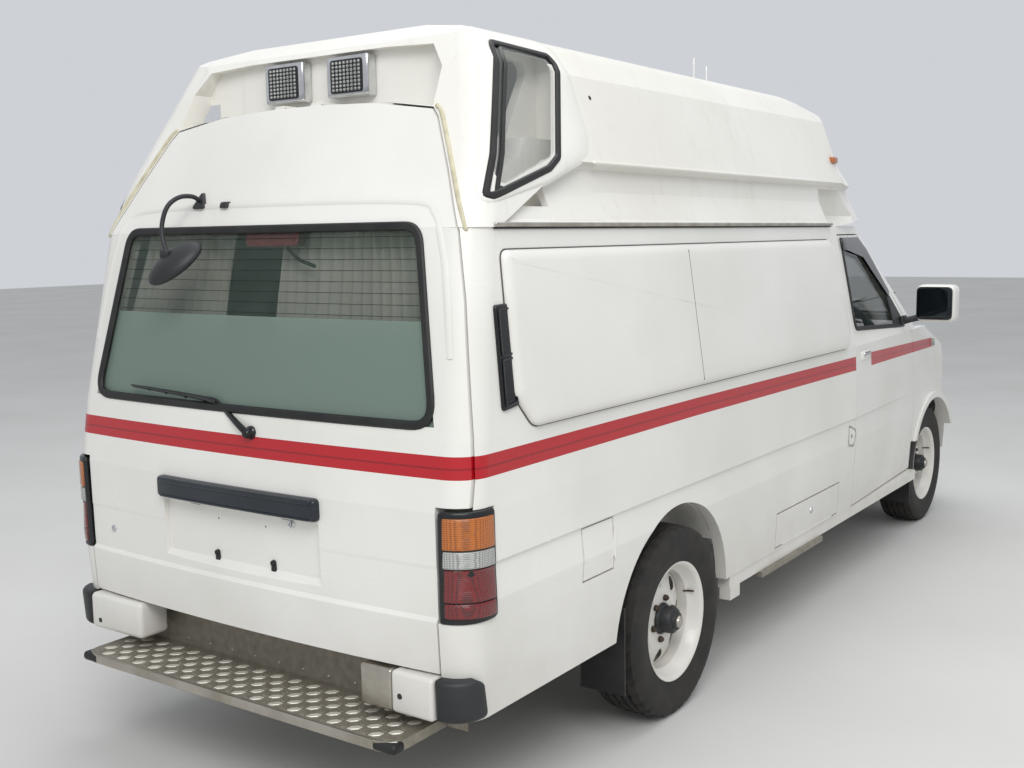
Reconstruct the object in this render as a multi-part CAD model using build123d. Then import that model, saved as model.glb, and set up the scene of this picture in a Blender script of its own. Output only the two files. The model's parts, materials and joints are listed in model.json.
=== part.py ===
from build123d import *
import math
import os

os.makedirs("parts", exist_ok=True)

# Driving sizes in millimetres. Design frame: x forward of the rear axle, y to the left, z above ground.
wheelbase = 3400.0
rear_half_track = 769.0
front_half_track = 682.0
tyre_radius = 345.0
tyre_width = 195.0
rim_radius = 214.0
rim_width = 176.0
hub_radius = 48.0

sill_z = 391.0
crease_z = 690.0
band_z = 836.0
shoulder_z = 985.0
belt_z = 1180.0
seam_z = 1756.0
ledge_z = 1957.0
roof_edge_z = 2330.0
roof_top_z = 2392.0

pillar_x = 1866.0
nose_x = 3860.0
cowl_x = 3290.0
header_x = 2610.0
front_bumper_x = 4040.0
bonnet_rear_z = 1165.0
bonnet_front_z = 985.0

wall = 45.0
gap = 6.0
seat = 0.3
corner_radius = 95.0
nose_radius = 260.0
arch_radius = 430.0
glass_thickness = 5.0

floor_z = 560.0
floor_thickness = 40.0
rail_half_spacing = 360.0
rail_width = 70.0
rail_z = 430.0
firewall_x = 3340.0
front_arch_radius = 400.0

tailgate_bottom_z = 530.0
tailgate_top_z = 2142.0
tailgate_side_z = 996.0
tailgate_back_x = -886.0
hinge_room = 4.0
hinge_x = -950.0
hinge_pin_radius = 5.0
pocket_wall = 13.0

door_front_x = 2956.0
hatch_x0 = 916.0
hatch_x1 = 1667.0
hatch_z0 = 405.0
hatch_z1 = 548.0
lid_x0 = -653.0
lid_x1 = -469.0
lid_z0 = 660.0
lid_z1 = 824.0

step_rear_x = -1368.0
step_front_x = -1128.0
step_z = 350.0
step_thickness = 30.0
step_half_width = 690.0
step_corner = 60.0
bumper_rear_x = -1290.0
bumper_top_z = 524.0
bumper_bottom_z = 398.0
bumper_cap_y = 763.0
lamp_front_x = -1125.0
lamp_inner_y = 768.0
lamp_bottom_z = 678.0
bumper_box_y = 490.0

plate_hole_spacing = 210.0
plate_hole_radius = 4.0
plate_z = 864.0
plate_recess_half = 345.0

knuckle_y = 600.0
kingpin_height = 150.0
hub_back = 14.0
running = 0.5
length_middle_x = (front_bumper_x + step_rear_x) / 2

# Body levels: height, rear face x at the corner, crown of the rear face, half width at the tail,
# at the cab pillar and at the nose, and the x where the nose corner begins.
BODY_LEVELS = [
    (sill_z, -1239.0, 30.0, 852.0, 850.0, 780.0, nose_x),
    (crease_z - 12.0, -1255.0, 32.0, 866.0, 866.0, 797.0, nose_x),
    (crease_z, -1245.0, 32.0, 867.0, 867.0, 798.0, nose_x),
    (band_z - 110.0, -1246.0, 32.0, 870.0, 870.0, 800.0, nose_x),
    (band_z - 10.0, -1248.0, 32.0, 861.0, 861.0, 797.0, nose_x),
    (band_z, -1249.0, 32.0, 870.0, 870.0, 800.0, nose_x),
    (shoulder_z, -1251.0, 32.0, 869.0, 869.0, 795.0, nose_x),
    (belt_z, -1226.0, 32.0, 860.0, 860.0, 770.0, nose_x),
]
UPPER_LEVELS = [
    (belt_z, -1226.0, 32.0, 860.0, 860.0, 790.0, cowl_x),
    (seam_z, -1123.0, 32.0, 814.0, 800.0, 700.0, header_x),
]
CAB_LEVELS = [
    (belt_z, -1226.0, 32.0, 856.0, 852.0, 790.0, cowl_x),
    (seam_z, -1123.0, 32.0, 770.0, 745.0, 655.0, header_x),
]
ROOF_LEVELS = [
    (seam_z, -1123.0, 32.0, 822.0, 812.0, 700.0, 2620.0),
    (seam_z + 22.0, -1117.0, 32.0, 800.0, 790.0, 680.0, 2620.0),
    (seam_z + 110.0, -1075.0, 32.0, 760.0, 752.0, 655.0, 2560.0),
    (ledge_z - 22.0, -1038.0, 32.0, 750.0, 744.0, 650.0, 2480.0),
    (ledge_z, -1026.0, 32.0, 782.0, 776.0, 680.0, 2460.0),
    (roof_top_z + 60.0, -790.0, 30.0, 602.0, 600.0, 420.0, 2260.0),
]
COLUMN_LEVELS = [
    (seam_z, -1123.0, 32.0, 822.0, 812.0, 700.0, 2620.0),
    (ledge_z, -1026.0, 32.0, 782.0, 776.0, 680.0, 2460.0),
    (roof_top_z + 60.0, -790.0, 30.0, 602.0, 600.0, 540.0, 2300.0),
]


def plan_wire(level, inset):
    """One closed plan section of the body, drawn inward by the inset."""
    z, rear, crown, half_tail, half_pillar, half_nose, nose = level
    rear = rear + inset
    nose = nose - inset
    tail = half_tail - inset
    pillar = half_pillar - inset
    front = half_nose - inset
    r = max(corner_radius - inset, 25.0)
    f = max(nose_radius - inset, 60.0)
    k = 1 - math.sqrt(0.5)
    left = [(rear, tail - r), (rear + r * k, tail - r * k), (rear + r, tail)]
    turn = [(nose - f, front), (nose - f * k, front - f * k), (nose, front - f)]
    edges = [
        ThreePointArc((rear, r - tail, z), (rear - crown, 0, z), (rear, tail - r, z)),
        ThreePointArc(*[(x, y, z) for x, y in left]),
        Line((rear + r, tail, z), (pillar_x, pillar, z)),
        Line((pillar_x, pillar, z), (nose - f, front, z)),
        ThreePointArc(*[(x, y, z) for x, y in turn]),
        ThreePointArc((nose, front - f, z), (nose + 60, 0, z), (nose, f - front, z)),
        ThreePointArc(*[(x, -y, z) for x, y in reversed(turn)]),
        Line((nose - f, -front, z), (pillar_x, -pillar, z)),
        Line((pillar_x, -pillar, z), (rear + r, -tail, z)),
        ThreePointArc(*[(x, -y, z) for x, y in reversed(left)]),
    ]
    return Wire(edges)


def plan_loft(levels, inset, below=0.0, above=0.0):
    """Ruled body through the plan sections, its ends carried on straight by the given heights."""
    rows = [list(level) for level in levels]
    if below:
        rows = [carried(rows[1], rows[0], below)] + rows
    if above:
        rows = rows + [carried(rows[-2], rows[-1], above)]
    return Solid.make_loft([plan_wire(row, inset) for row in rows], True)


def carried(first, second, distance):
    """The level that lies on the straight way from the first level past the second."""
    share = distance / abs(second[0] - first[0])
    return [b + (b - a) * share for a, b in zip(first, second)]


def box(x0, x1, y0, y1, z0, z1):
    """Box between two corners."""
    return Pos((x0 + x1) / 2, (y0 + y1) / 2, (z0 + z1) / 2) * Box(x1 - x0, y1 - y0, z1 - z0)


def side_prism(points, y0, y1, radius=0.0):
    """Prism of an outline of x and z, running from y0 to y1."""
    outline = FilletPolyline(*points, radius=radius, close=True) if radius else Polyline(*points, close=True)
    face = make_face(Plane.XZ * outline)
    return Pos(0, y0, 0) * extrude(face, y1 - y0, dir=(0, 1, 0))


def rear_prism(points, x0, x1, radius=0.0, grow=0.0):
    """Prism of an outline of y and z, grown by an amount, running from x0 to x1."""
    outline = FilletPolyline(*points, radius=radius, close=True) if radius else Polyline(*points, close=True)
    face = make_face(Plane.YZ * outline)
    if grow:
        face = offset(face, grow, kind=Kind.INTERSECTION)
    return Pos(x0, 0, 0) * extrude(face, x1 - x0, dir=(1, 0, 0))


def cross_cylinder(x, z, radius, y0, y1):
    """Cylinder along y."""
    return Pos(x, (y0 + y1) / 2, z) * Rot(90, 0, 0) * Cylinder(radius, abs(y1 - y0))


def side_arm(start, end, radius):
    """Round bar between two points."""
    line = Vector(*end) - Vector(*start)
    plane = Plane(origin=Vector(*start), z_dir=line)
    return plane * Pos(0, 0, line.length / 2) * Cylinder(radius, line.length)


def mirrored(shape):
    """The same shape on the other side of the vehicle."""
    return mirror(shape, about=Plane.XZ)


def both(shape):
    """The shape and its mirror image, as solids that don't touch."""
    return solids_of(shape) + solids_of(mirrored(shape))


def solids_of(shape):
    """The solids of a shape as a plain list."""
    return list(shape.solids())


written = []


def write(name, *shapes):
    """Writes one node, moved so that the origin lies under the middle of the vehicle."""
    solids = []
    for shape in shapes:
        solids += shape if isinstance(shape, list) else solids_of(shape)
    moved = [Pos(-length_middle_x, 0, 0) * solid for solid in solids]
    node = moved[0] if len(moved) == 1 else Compound(children=moved)
    export_step(node, os.path.join("parts", name + ".step"))
    written.append(name)


# Outlines of x and z for the bonnet, the cab and the roof
BONNET_LINE = [
    (-1500, sill_z - 60),
    (4300, sill_z - 60),
    (4300, 700),
    (nose_x + 50, 880),
    (nose_x - 40, bonnet_front_z),
    (cowl_x, bonnet_rear_z),
    (cowl_x - 60, belt_z + 60),
    (-1500, belt_z + 60),
]
ROOF_LINE = [
    (-1300, seam_z),
    (-1180, seam_z + 60),
    (-850, roof_edge_z),
    (-770, roof_top_z - 12),
    (-600, roof_top_z),
    (900, roof_top_z),
    (1560, roof_top_z - 42),
    (1860, roof_top_z - 106),
    (2060, roof_top_z - 184),
    (2210, roof_top_z - 274),
    (2330, roof_top_z - 368),
    (2450, roof_top_z - 436),
    (2560, seam_z + 40),
    (1900, seam_z),
]
ROOF_NECK = [
    # y, z
    (708, ledge_z - 30),
    (692, seam_z + 50),
    (742, seam_z),
    (742, seam_z - 80),
    (1000, seam_z - 80),
    (1000, ledge_z - 30),
]
ROOF_SECTION = [
    # y, z
    (-1000, seam_z - 60),
    (1000, seam_z - 60),
    (1000, roof_edge_z - 492),
    (590, roof_edge_z + 20),
    (300, roof_top_z),
    (-300, roof_top_z),
    (-590, roof_edge_z + 20),
    (-1000, roof_edge_z - 492),
]
TAILGATE_OUTLINE = [
    # half width, height
    (762, tailgate_bottom_z),
    (762, tailgate_side_z + gap),
    (849, tailgate_side_z + gap),
    (848, 1076),
    (840, 1184),
    (790, 1560),
    (756, 1748),
    (670, 1916),
    (582, 2072),
    (556, 2100),
    (330, tailgate_top_z - 9),
    (110, tailgate_top_z),
]
TAILGATE_INSIDE = [
    # x, z
    (-1500, 300),
    (-1180, 300),
    (-1186, shoulder_z),
    (-1160, belt_z),
    (-1056, seam_z),
    (-958, ledge_z),
    (tailgate_back_x, 2110),
    (tailgate_back_x, 2200),
    (-1500, 2200),
]
LAMP_RECESS = [
    # half width, height
    (556, 2109),
    (545, 2230),
    (490, 2302),
    (300, 2312),
]
LOAD_FRONT = [
    # x, z
    (-1500, 1000),
    (1900, 1000),
    (1872, belt_z),
    (1826, 1300),
    (1764, 1526),
    (1676, 1690),
    (1610, seam_z + 20),
    (-1500, seam_z + 20),
]
TAIL_WINDOW = [
    # half width, height
    (742, 1215),
    (625, 1755),
]
WINDSCREEN = [
    # half width, height
    (700, 1250),
    (575, 1690),
]
DOOR_OUTLINE = [
    (pillar_x + gap, sill_z + gap),
    (door_front_x, sill_z + gap),
    (door_front_x, 1205),
    (2405, 1710),
    (pillar_x + gap, 1710),
]
DOOR_WINDOW = [
    (1930, 1262),
    (2850, 1215),
    (2395, 1650),
    (1930, 1668),
]
SLIDING_DOOR = [
    (560, sill_z + gap),
    (1826, sill_z + gap),
    (1826, 1190),
    (1770, 1340),
    (1640, 1660),
    (560, 1660),
]
SLIDING_WINDOW = [
    (700, 1230),
    (1690, 1230),
    (1575, 1600),
    (700, 1600),
]


def symmetric(outline, grow=0.0):
    """Closed outline of y and z from rows of half width and height."""
    right = [(half + grow, z) for half, z in outline]
    right[0] = (right[0][0], right[0][1] - grow)
    right[-1] = (right[-1][0], right[-1][1] + grow)
    return right + [(-y, z) for y, z in reversed(right)]


def grown(outline, amount):
    """The x and z outline moved outward by an amount."""
    face = make_face(Plane.XZ * Polyline(*outline, close=True))
    wire = offset(face, amount, kind=Kind.INTERSECTION)
    return wire


def slab_prism(outline, grow, y0, y1):
    """Prism of a grown or shrunk x and z outline, from y0 to y1."""
    face = grown(outline, grow) if grow else make_face(Plane.XZ * Polyline(*outline, close=True))
    return Pos(0, y0, 0) * extrude(face, y1 - y0, dir=(0, 1, 0))


def upper_body(inset, below=0.0):
    """Load space above the belt up to its slanting front edge, and the narrower cab in front of it."""
    edge = [(x - inset * 0.5, z) for x, z in LOAD_FRONT]
    load = plan_loft(UPPER_LEVELS, inset, below=below) & side_prism(edge, -1000, 1000)
    return load + (plan_loft(CAB_LEVELS, inset, below=below) & box(1000, 4000, -1000, 1000, 900, 1800))


# Body as a whole and its hollow
lower_outer = plan_loft(BODY_LEVELS, 0) & side_prism(BONNET_LINE, -1000, 1000)
upper_outer = upper_body(0)
body_outer = lower_outer + upper_outer
cab_limit = side_prism(
    [(-1500, 300), (firewall_x, 300), (firewall_x, belt_z - 40), (cowl_x, belt_z + 30), (-1500, belt_z + 30)],
    -1000, 1000)
lower_inner = plan_loft(BODY_LEVELS, wall, below=60, above=40)
upper_inner = upper_body(wall)
front_roof = upper_outer & box(pillar_x, 3000, -1000, 1000, seam_z - wall, seam_z)
front_line = [(x, z - 30) for x, z in BONNET_LINE]
front_hollow = plan_loft(BODY_LEVELS, 32, below=60, above=40) & side_prism(front_line, -1000, 1000)
front_hollow = front_hollow & box(firewall_x + 30, 4300, -1000, 1000, 200, 1400)
shell = body_outer - (lower_inner & cab_limit) - upper_inner - front_hollow + front_roof
tailgate_back = [(x + gap + (hinge_room if z > ledge_z else 0) if x > -1400 else x, z) for x, z in TAILGATE_INSIDE]
tailgate_opening = rear_prism(symmetric(TAILGATE_OUTLINE), -1400, -870, grow=gap)
tailgate_opening = tailgate_opening & side_prism(tailgate_back, -900, 900)
tailgate_blank = rear_prism(symmetric(TAILGATE_OUTLINE), -1400, -870) & side_prism(TAILGATE_INSIDE, -900, 900)
rear_arches = cross_cylinder(0, tyre_radius, arch_radius, 620, 1000)
rear_arches = rear_arches + mirrored(rear_arches)
front_arches = cross_cylinder(wheelbase, tyre_radius, front_arch_radius, 410, 1000)
front_arches = front_arches + mirrored(front_arches)


def roof_body(inset):
    """The high roof as a full body, drawn inward by the inset."""
    skin = plan_loft(ROOF_LEVELS, inset, below=40 if inset else 0)
    side = side_prism([(x - inset * 0.6, z - inset) for x, z in ROOF_LINE], -1000, 1000)
    if inset:
        side = side + box(-1200, 1600, -1000, 1000, seam_z - 60, seam_z + 200)
    section = rear_prism([(y, z - inset) for y, z in ROOF_SECTION], -1500, 3000, radius=110)
    neck = rear_prism([(y - inset if y < 900 else y, z) for y, z in ROOF_NECK], 1625 - inset, 3000)
    return (skin & side & section) - neck - mirrored(neck)


column_body = plan_loft(COLUMN_LEVELS, 0) & side_prism(ROOF_LINE, -1000, 1000)
column_body = column_body & rear_prism(ROOF_SECTION, -1500, 3000, radius=110)
column_body = column_body & side_prism(
    [(-1300, seam_z), (-1010, seam_z), (-580, ledge_z), (-580, roof_top_z), (-1300, roof_top_z)], -1000, 1000)
roof_outer = roof_body(0) + column_body
lamp_panel_x = -826.0
lamp_recess = rear_prism(symmetric(LAMP_RECESS), -1300, lamp_panel_x)
recess_foot = symmetric([(556, 2109), (330, tailgate_top_z - 3), (110, tailgate_top_z + gap)])
lamp_recess = lamp_recess - rear_prism(recess_foot, -1300, lamp_panel_x)
roof_inner = roof_body(wall) - box(-1300, lamp_panel_x + wall, -600, 600, tailgate_top_z - 60, roof_top_z)
roof = roof_outer - roof_inner - (lamp_recess - tailgate_blank)

# Tailgate, its window and what it carries
tail_window = rear_prism(symmetric(TAIL_WINDOW), -1400, -870)
high_roof = roof - tailgate_opening - lamp_recess
tailgate_skin = shell & box(-1400, -900, -900, 900, 300, seam_z)
tailgate_skin = tailgate_skin + (roof & box(-1400, -870, -900, 900, seam_z, 2200))
plate_face_x = -1258.0
tailgate = (tailgate_skin & tailgate_blank) - tail_window
plate_recess = side_prism([(-1400, 906), (plate_face_x, 906), (plate_face_x, 736), (-1290, 696), (-1400, 696)],
                          -plate_recess_half, plate_recess_half)
tailgate = tailgate - plate_recess
for y in (-80, 80):
    tailgate = tailgate + cross_cylinder(hinge_x, tailgate_top_z, hinge_pin_radius, y - 20, y + 20)
    lug_z = tailgate_top_z + hinge_pin_radius + seat
    high_roof = high_roof + box(hinge_x, lamp_panel_x + 10, y - 20, y + 20, lug_z, lug_z + 7)
plate_y = plate_hole_spacing / 2
for y in (-plate_y, plate_y):
    tailgate = tailgate - Pos(plate_face_x, y, plate_z) * Rot(0, 90, 0) * Cylinder(plate_hole_radius, 60)
write("tailgate", tailgate)

pane = upper_body(10) - upper_body(10 + glass_thickness)
tail_pane = rear_prism(symmetric(TAIL_WINDOW, -seat), -1400, -870)
write("tailgate_glass", pane & tail_pane & box(-1400, -900, -900, 900, 1000, seam_z))

garnish = box(-1300, -1255, -352, 352, 914, 983) - plan_loft(BODY_LEVELS, -seat)
write("tailgate_handle", garnish)

wiper_pivot = (-1288, -63, 1151)
wiper_elbow = (-1262, 118, 1238)
wiper_tip = (-1240, 507, 1262)
wiper = Pos(-1262, wiper_pivot[1], wiper_pivot[2]) * Rot(0, 90, 0) * Cylinder(16, 60)
wiper = wiper + side_arm(wiper_pivot, wiper_elbow, 8) + side_arm(wiper_elbow, wiper_tip, 7)
wiper = wiper - plan_loft(BODY_LEVELS, -seat) - plan_loft(UPPER_LEVELS, -seat)
write("rear_wiper", wiper)

mirror_foot = (-1060, 296, 1852)
mirror_bend = (-1185, 312, 1866)
mirror_knee = (-1245, 330, 1790)
mirror_head = (-1250, 300, 1690)
under_mirror = side_arm(mirror_foot, mirror_bend, 9) + side_arm(mirror_bend, mirror_knee, 9)
under_mirror = under_mirror + side_arm(mirror_knee, mirror_head, 9) + Pos(mirror_bend) * Sphere(9) + Pos(mirror_knee) * Sphere(9)
under_mirror = under_mirror + Pos(-1250, 272, 1672) * Rot(20, -25, 0) * Cylinder(88, 30)
under_mirror = under_mirror - plan_loft(COLUMN_LEVELS, -seat) - plan_loft(UPPER_LEVELS, -seat)
write("rear_view_mirror", under_mirror)

# High roof with beacon windows in its rear corners and two work lamps on its rear panel
BEACON_WINDOW = [
    (-1022, 1852),
    (-660, 1968),
    (-484, 2276),
    (-776, 2290),
]
beacon_hole = side_prism(BEACON_WINDOW, 500, 1000, radius=34)
pocket = box(-1110, -437, 540, 1000, 1800, 2343) & roof_outer
pocket_space = box(-1095, -445, 571, 1000, 1816, 2325) & plan_loft(COLUMN_LEVELS, 12)
pocket_step = box(-1095, -445, 550, 645, 1810, 2033)
pocket_space = pocket_space & side_prism([(x - wall * 0.4, z - wall * 0.4) for x, z in ROOF_LINE], -1000, 1000)
tailgate_guard = rear_prism(symmetric(TAILGATE_OUTLINE), -1400, tailgate_back_x + 30, grow=gap + pocket_wall)
pocket_space = pocket_space - pocket_step - tailgate_guard
pocket_space = pocket_space + (beacon_hole - tailgate_guard)
for side in (pocket - tailgate_opening - lamp_recess, mirrored(pocket) - tailgate_opening - lamp_recess):
    high_roof = high_roof + side
high_roof = high_roof - pocket_space - mirrored(pocket_space)
corner_room = box(hinge_x - 40, hinge_x, 300, 420, tailgate_top_z - 26, tailgate_top_z + gap)
high_roof = high_roof - corner_room - mirrored(corner_room)
write("high_roof", high_roof)
beacon_pane = plan_loft(COLUMN_LEVELS, 1) - plan_loft(COLUMN_LEVELS, 1 + glass_thickness)
beacon_pane = beacon_pane & (side_prism(BEACON_WINDOW, 500, 1000, radius=34))
write("beacon_covers", both(beacon_pane))
work_lamp = box(lamp_panel_x - 46, lamp_panel_x - seat, 52, 228, 2174, 2318 - 16)
write("roof_work_lamps", both(work_lamp))

# Side walls of the load space
wall_zone = box(-1400, pillar_x, 0, 1000, 300, seam_z)
lamp_block = box(-1300, lamp_front_x, lamp_inner_y, 1000, lamp_bottom_z, tailgate_side_z)
lid_block = slab_prism([(lid_x0, lid_z0), (lid_x1, lid_z0), (lid_x1, lid_z1), (lid_x0, lid_z1)], 0, 760, 1000)
hatch_block = slab_prism([(hatch_x0, hatch_z0), (hatch_x1, hatch_z0), (hatch_x1, hatch_z1), (hatch_x0, hatch_z1)], 0, 760, 1000)
valance = box(-1400, -1100, -lamp_inner_y, lamp_inner_y, 300, tailgate_bottom_z)
wall_left = (shell & wall_zone) - tailgate_opening - rear_arches - lamp_block - valance
side_opening = slab_prism(SLIDING_DOOR, 0, 500, 1000)
wall_right = mirrored(wall_left) - mirrored(slab_prism(
    [(lid_x0, lid_z0), (lid_x1, lid_z0), (lid_x1, lid_z1), (lid_x0, lid_z1)], gap, 760, 1000))
wall_right = wall_right - mirrored(slab_prism(
    [(hatch_x0, hatch_z0), (hatch_x1, hatch_z0), (hatch_x1, hatch_z1), (hatch_x0, hatch_z1)], gap, 760, 1000))
write("side_wall_right", wall_right)
write("side_wall_left", wall_left - side_opening)
sliding_door = (shell & slab_prism(SLIDING_DOOR, -gap, 500, 1000)) - slab_prism(SLIDING_WINDOW, 0, 500, 1000)
write("sliding_door", sliding_door)
side_pane = pane & slab_prism(SLIDING_WINDOW, -seat, 500, 1000)
pin_radius = gap / 2 - seat
lid_axis = (lid_x1 + gap / 2, -871.0)
fuel_lid = shell & mirrored(lid_block)
fuel_lid = fuel_lid + Pos(lid_axis[0], lid_axis[1], (lid_z0 + lid_z1) / 2) * Cylinder(pin_radius, 100)
fuel_lid = fuel_lid + box(lid_x1 - 3, lid_x1 + 2, -872, -868, lid_z0 + 40, lid_z1 - 40)
write("fuel_lid", fuel_lid)
hatch_axis = (-850.2, hatch_z0 - gap / 2)
storage_hatch = shell & mirrored(hatch_block)
hatch_pin = Pos((hatch_x0 + hatch_x1) / 2, hatch_axis[0], hatch_axis[1]) * Rot(0, 90, 0) * Cylinder(pin_radius, 600)
storage_hatch = storage_hatch + hatch_pin + box(hatch_x0 + 80, hatch_x1 - 80, -852, -848, hatch_z0 - 2, hatch_z0 + 3)
write("storage_hatch", storage_hatch)
locker = box(hatch_x0 - 30, hatch_x1 + 30, -803, -560, hatch_z0 - 13, floor_z + 10)
locker = locker - box(hatch_x0 - 10, hatch_x1 + 10, -900, -580, hatch_z0 - 3, floor_z - 10)

# Blanking covers over the side windows, the vents behind them and the tail lamps
COVER_REAR = [(-1022, 1690), (-1006, 1280), (-930, 1182), (136, 1182), (120, 1690)]
COVER_FRONT = [(124, 1690), (140, 1182), (1690, 1182), (1765, 1230), (1720, 1457), (1650, 1640), (1580, 1690)]
cover_skin = plan_loft(UPPER_LEVELS, -25) - plan_loft(UPPER_LEVELS, -seat)
covers = [cover_skin & slab_prism(outline, 0, -1000, -500) for outline in (COVER_REAR, COVER_FRONT)]
left_cover = cover_skin & slab_prism([(-1022, 1690), (-1006, 1280), (-930, 1182), (490, 1182), (490, 1690)], 0, 500, 1000)
write("window_covers", *covers, left_cover)
vent_skin = plan_loft(UPPER_LEVELS, -12) - plan_loft(UPPER_LEVELS, -seat)
vent = vent_skin & slab_prism([(-1078, 1543), (-1086, 1246), (-1022, 1246), (-1034, 1543)], 0, 500, 1000)
write("side_vents", both(vent))
lamp_skin = plan_loft(BODY_LEVELS, -12) - plan_loft(BODY_LEVELS, 30)
write("tail_lamps", both(lamp_skin & box(-1300, lamp_front_x - seat, lamp_inner_y + seat, 1000, lamp_bottom_z + seat,
                                         tailgate_side_z - seat)))

# Cab: doors, glass, roof and pillars
bonnet_zone = box(firewall_x + 32, 3820, -640, 640, 940, 1200)
bonnet_cut = box(firewall_x + 32 - gap, 3820 + gap, -640 - gap, 640 + gap, 940, 1250)
door_blank = slab_prism(DOOR_OUTLINE, 0, 500, 1000)
door_opening = slab_prism(DOOR_OUTLINE, gap, 500, 1000)
door_window = slab_prism(DOOR_WINDOW, 0, 500, 1000)
door_left = (shell & door_blank) - door_window
write("cab_door_left", door_left)
write("cab_door_right", mirrored(door_left))
door_pane = pane & slab_prism(DOOR_WINDOW, -seat, 500, 1000)
write("cab_door_glass_left", door_pane)
write("cab_door_glass_right", mirrored(door_pane))
windscreen_hole = rear_prism(symmetric(WINDSCREEN), 2300, 3700)
cab_zone = box(pillar_x, firewall_x, -1000, 1000, 300, seam_z)
fender_x = door_front_x + gap
cab_sides = shell & cab_zone
fender_zone = box(fender_x, 3500, 560, 1000, 545, bonnet_rear_z - 20)
cab_frame = cab_sides - door_opening - mirrored(door_opening) - windscreen_hole - front_arches
flap_notch = box(fender_x, 3500, 560, 1000, 300, bonnet_rear_z - 20)
cab_frame = cab_frame - flap_notch - mirrored(flap_notch)
firewall = box(firewall_x, firewall_x + 30 - seat, -740, 740, floor_z, bonnet_rear_z - 45) & lower_inner
cab_frame = cab_frame + (firewall - front_arches - bonnet_cut)
write("cab_frame", cab_frame)
screen_pane = pane & rear_prism(symmetric(WINDSCREEN, -seat), 2300, 3700)
write("body_glass", screen_pane, side_pane)

# Front end: fenders, bonnet and nose panel with its lamps
front_shell = (shell & box(fender_x, 4300, -1000, 1000, 300, 1300)) - front_arches
fender = (front_shell & fender_zone) - bonnet_cut - firewall
flare = cross_cylinder(wheelbase, tyre_radius, front_arch_radius + 36, 740, 826)
flare = flare - cross_cylinder(wheelbase, tyre_radius, front_arch_radius, 400, 1000)
flare = (flare & box(2900, 3900, 700, 900, 540, 900)) - plan_loft(BODY_LEVELS, 20)
flare = flare - slab_prism(DOOR_OUTLINE, gap, 500, 1000)
fender = fender + (flare & box(2900, 3500, 700, 900, 540, 900))
write("front_fenders", both(fender))
bonnet = shell & bonnet_zone
write("bonnet", bonnet)
nose_zone = box(3500, 4300, -1000, 1000, 300, 1300)
nose = (front_shell & nose_zone) - bonnet_cut
nose = nose + (flare & box(3500, 3900, 700, 900, 540, 900)) + mirrored(flare & box(3500, 3900, 700, 900, 540, 900))
headlamp_hole = box(3600, 4300, 430, 720, 800, 940)
grille_hole = box(3700, 4300, -400, 400, 800, 930)
nose = nose - headlamp_hole - mirrored(headlamp_hole) - grille_hole
write("nose_panel", nose)
lamp_front = plan_loft(BODY_LEVELS, 4) - plan_loft(BODY_LEVELS, 50)
headlamp = lamp_front & box(3600, 4300, 430 + seat, 720 - seat, 800 + seat, 940 - seat)
write("headlamps", both(headlamp))
bars = [box(3700, 4300, -400 + seat, 400 - seat, z, z + 14) for z in (806, 838, 870, 902)]
grille = box(3890, 3900, -400 + seat, 400 - seat, 800 + seat, 930 - seat)
for bar in bars:
    grille = grille + (bar & (plan_loft(BODY_LEVELS, 12) - plan_loft(BODY_LEVELS, 60)))
write("grille", grille)
bumper_skin = Pos(front_bumper_x - nose_x - 60, 0, 0) * plan_loft(BODY_LEVELS, 0, below=60)
bumper_skin = bumper_skin - plan_loft(BODY_LEVELS, -seat, below=60)
front_bumper = (bumper_skin & box(3640, 4300, -900, 900, 380, 640)) - front_arches - flare - mirrored(flare)
write("front_bumper", front_bumper)

# Door mirrors on their arms
mirror_case = box(2755, 2835, 865, 1080, 1240, 1440)
mirror_case = fillet(mirror_case.edges(), 18)
mirror_stalk = side_arm((2905, 740, 1225), (2800, 900, 1290), 14)
door_mirror = (mirror_case + mirror_stalk) - plan_loft(CAB_LEVELS, -seat)
write("door_mirror_left", door_mirror)
write("door_mirror_right", mirrored(door_mirror))

# Floor, wheel boxes and chassis frame
floor_body = plan_loft([BODY_LEVELS[0], BODY_LEVELS[1]], wall + seat, above=20)
floor = floor_body & box(-1190, door_front_x, -1000, 1000, floor_z, floor_z + floor_thickness)
floor = floor + box(door_front_x - 10, firewall_x - seat, -395, 395, floor_z, floor_z + floor_thickness)
floor = floor - rear_arches
rear_box = cross_cylinder(0, tyre_radius, arch_radius + 20, 605, 820) - cross_cylinder(0, tyre_radius, arch_radius, 620, 900)
rear_box = rear_box & box(-600, 600, 500, 813, floor_z, 900)
front_box = cross_cylinder(wheelbase, tyre_radius, front_arch_radius + 20, 395, 745)
front_box = front_box - cross_cylinder(wheelbase, tyre_radius, front_arch_radius, 410, 900)
front_box = front_box & box(2960, firewall_x - seat, 390, 745, floor_z, 900)
floor = floor + rear_box + mirrored(rear_box) + front_box + mirrored(front_box) + locker
write("floor_pan", floor)
rail = box(step_front_x + 4 + seat, 3800, rail_half_spacing - rail_width / 2, rail_half_spacing + rail_width / 2, rail_z, floor_z - seat)
frame_parts = rail + mirrored(rail)
for x in (-1090, -560, 520, 1250, 2000, 2700, 3700):
    frame_parts = frame_parts + box(x - 30, x + 30, -rail_half_spacing, rail_half_spacing, rail_z + 20, rail_z + 90)
sill = box(470, door_front_x - 10, 798, 847, 340, sill_z - seat) + box(470, 560, 804, 850, 294, 345)
write("sills", both(sill))
write("side_steps", both(box(759, 1451, 770, 862, 316, 340 - seat)))
rear_flap = box(-392, -384, 690, 806, 195, floor_z - seat) + box(-392, -384, 800, 862, 195, 500)
front_flap = box(fender_x + 3, fender_x + 11, 640, 812, 190, 545 - seat)
write("mud_flaps", both(rear_flap) + both(front_flap))

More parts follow.
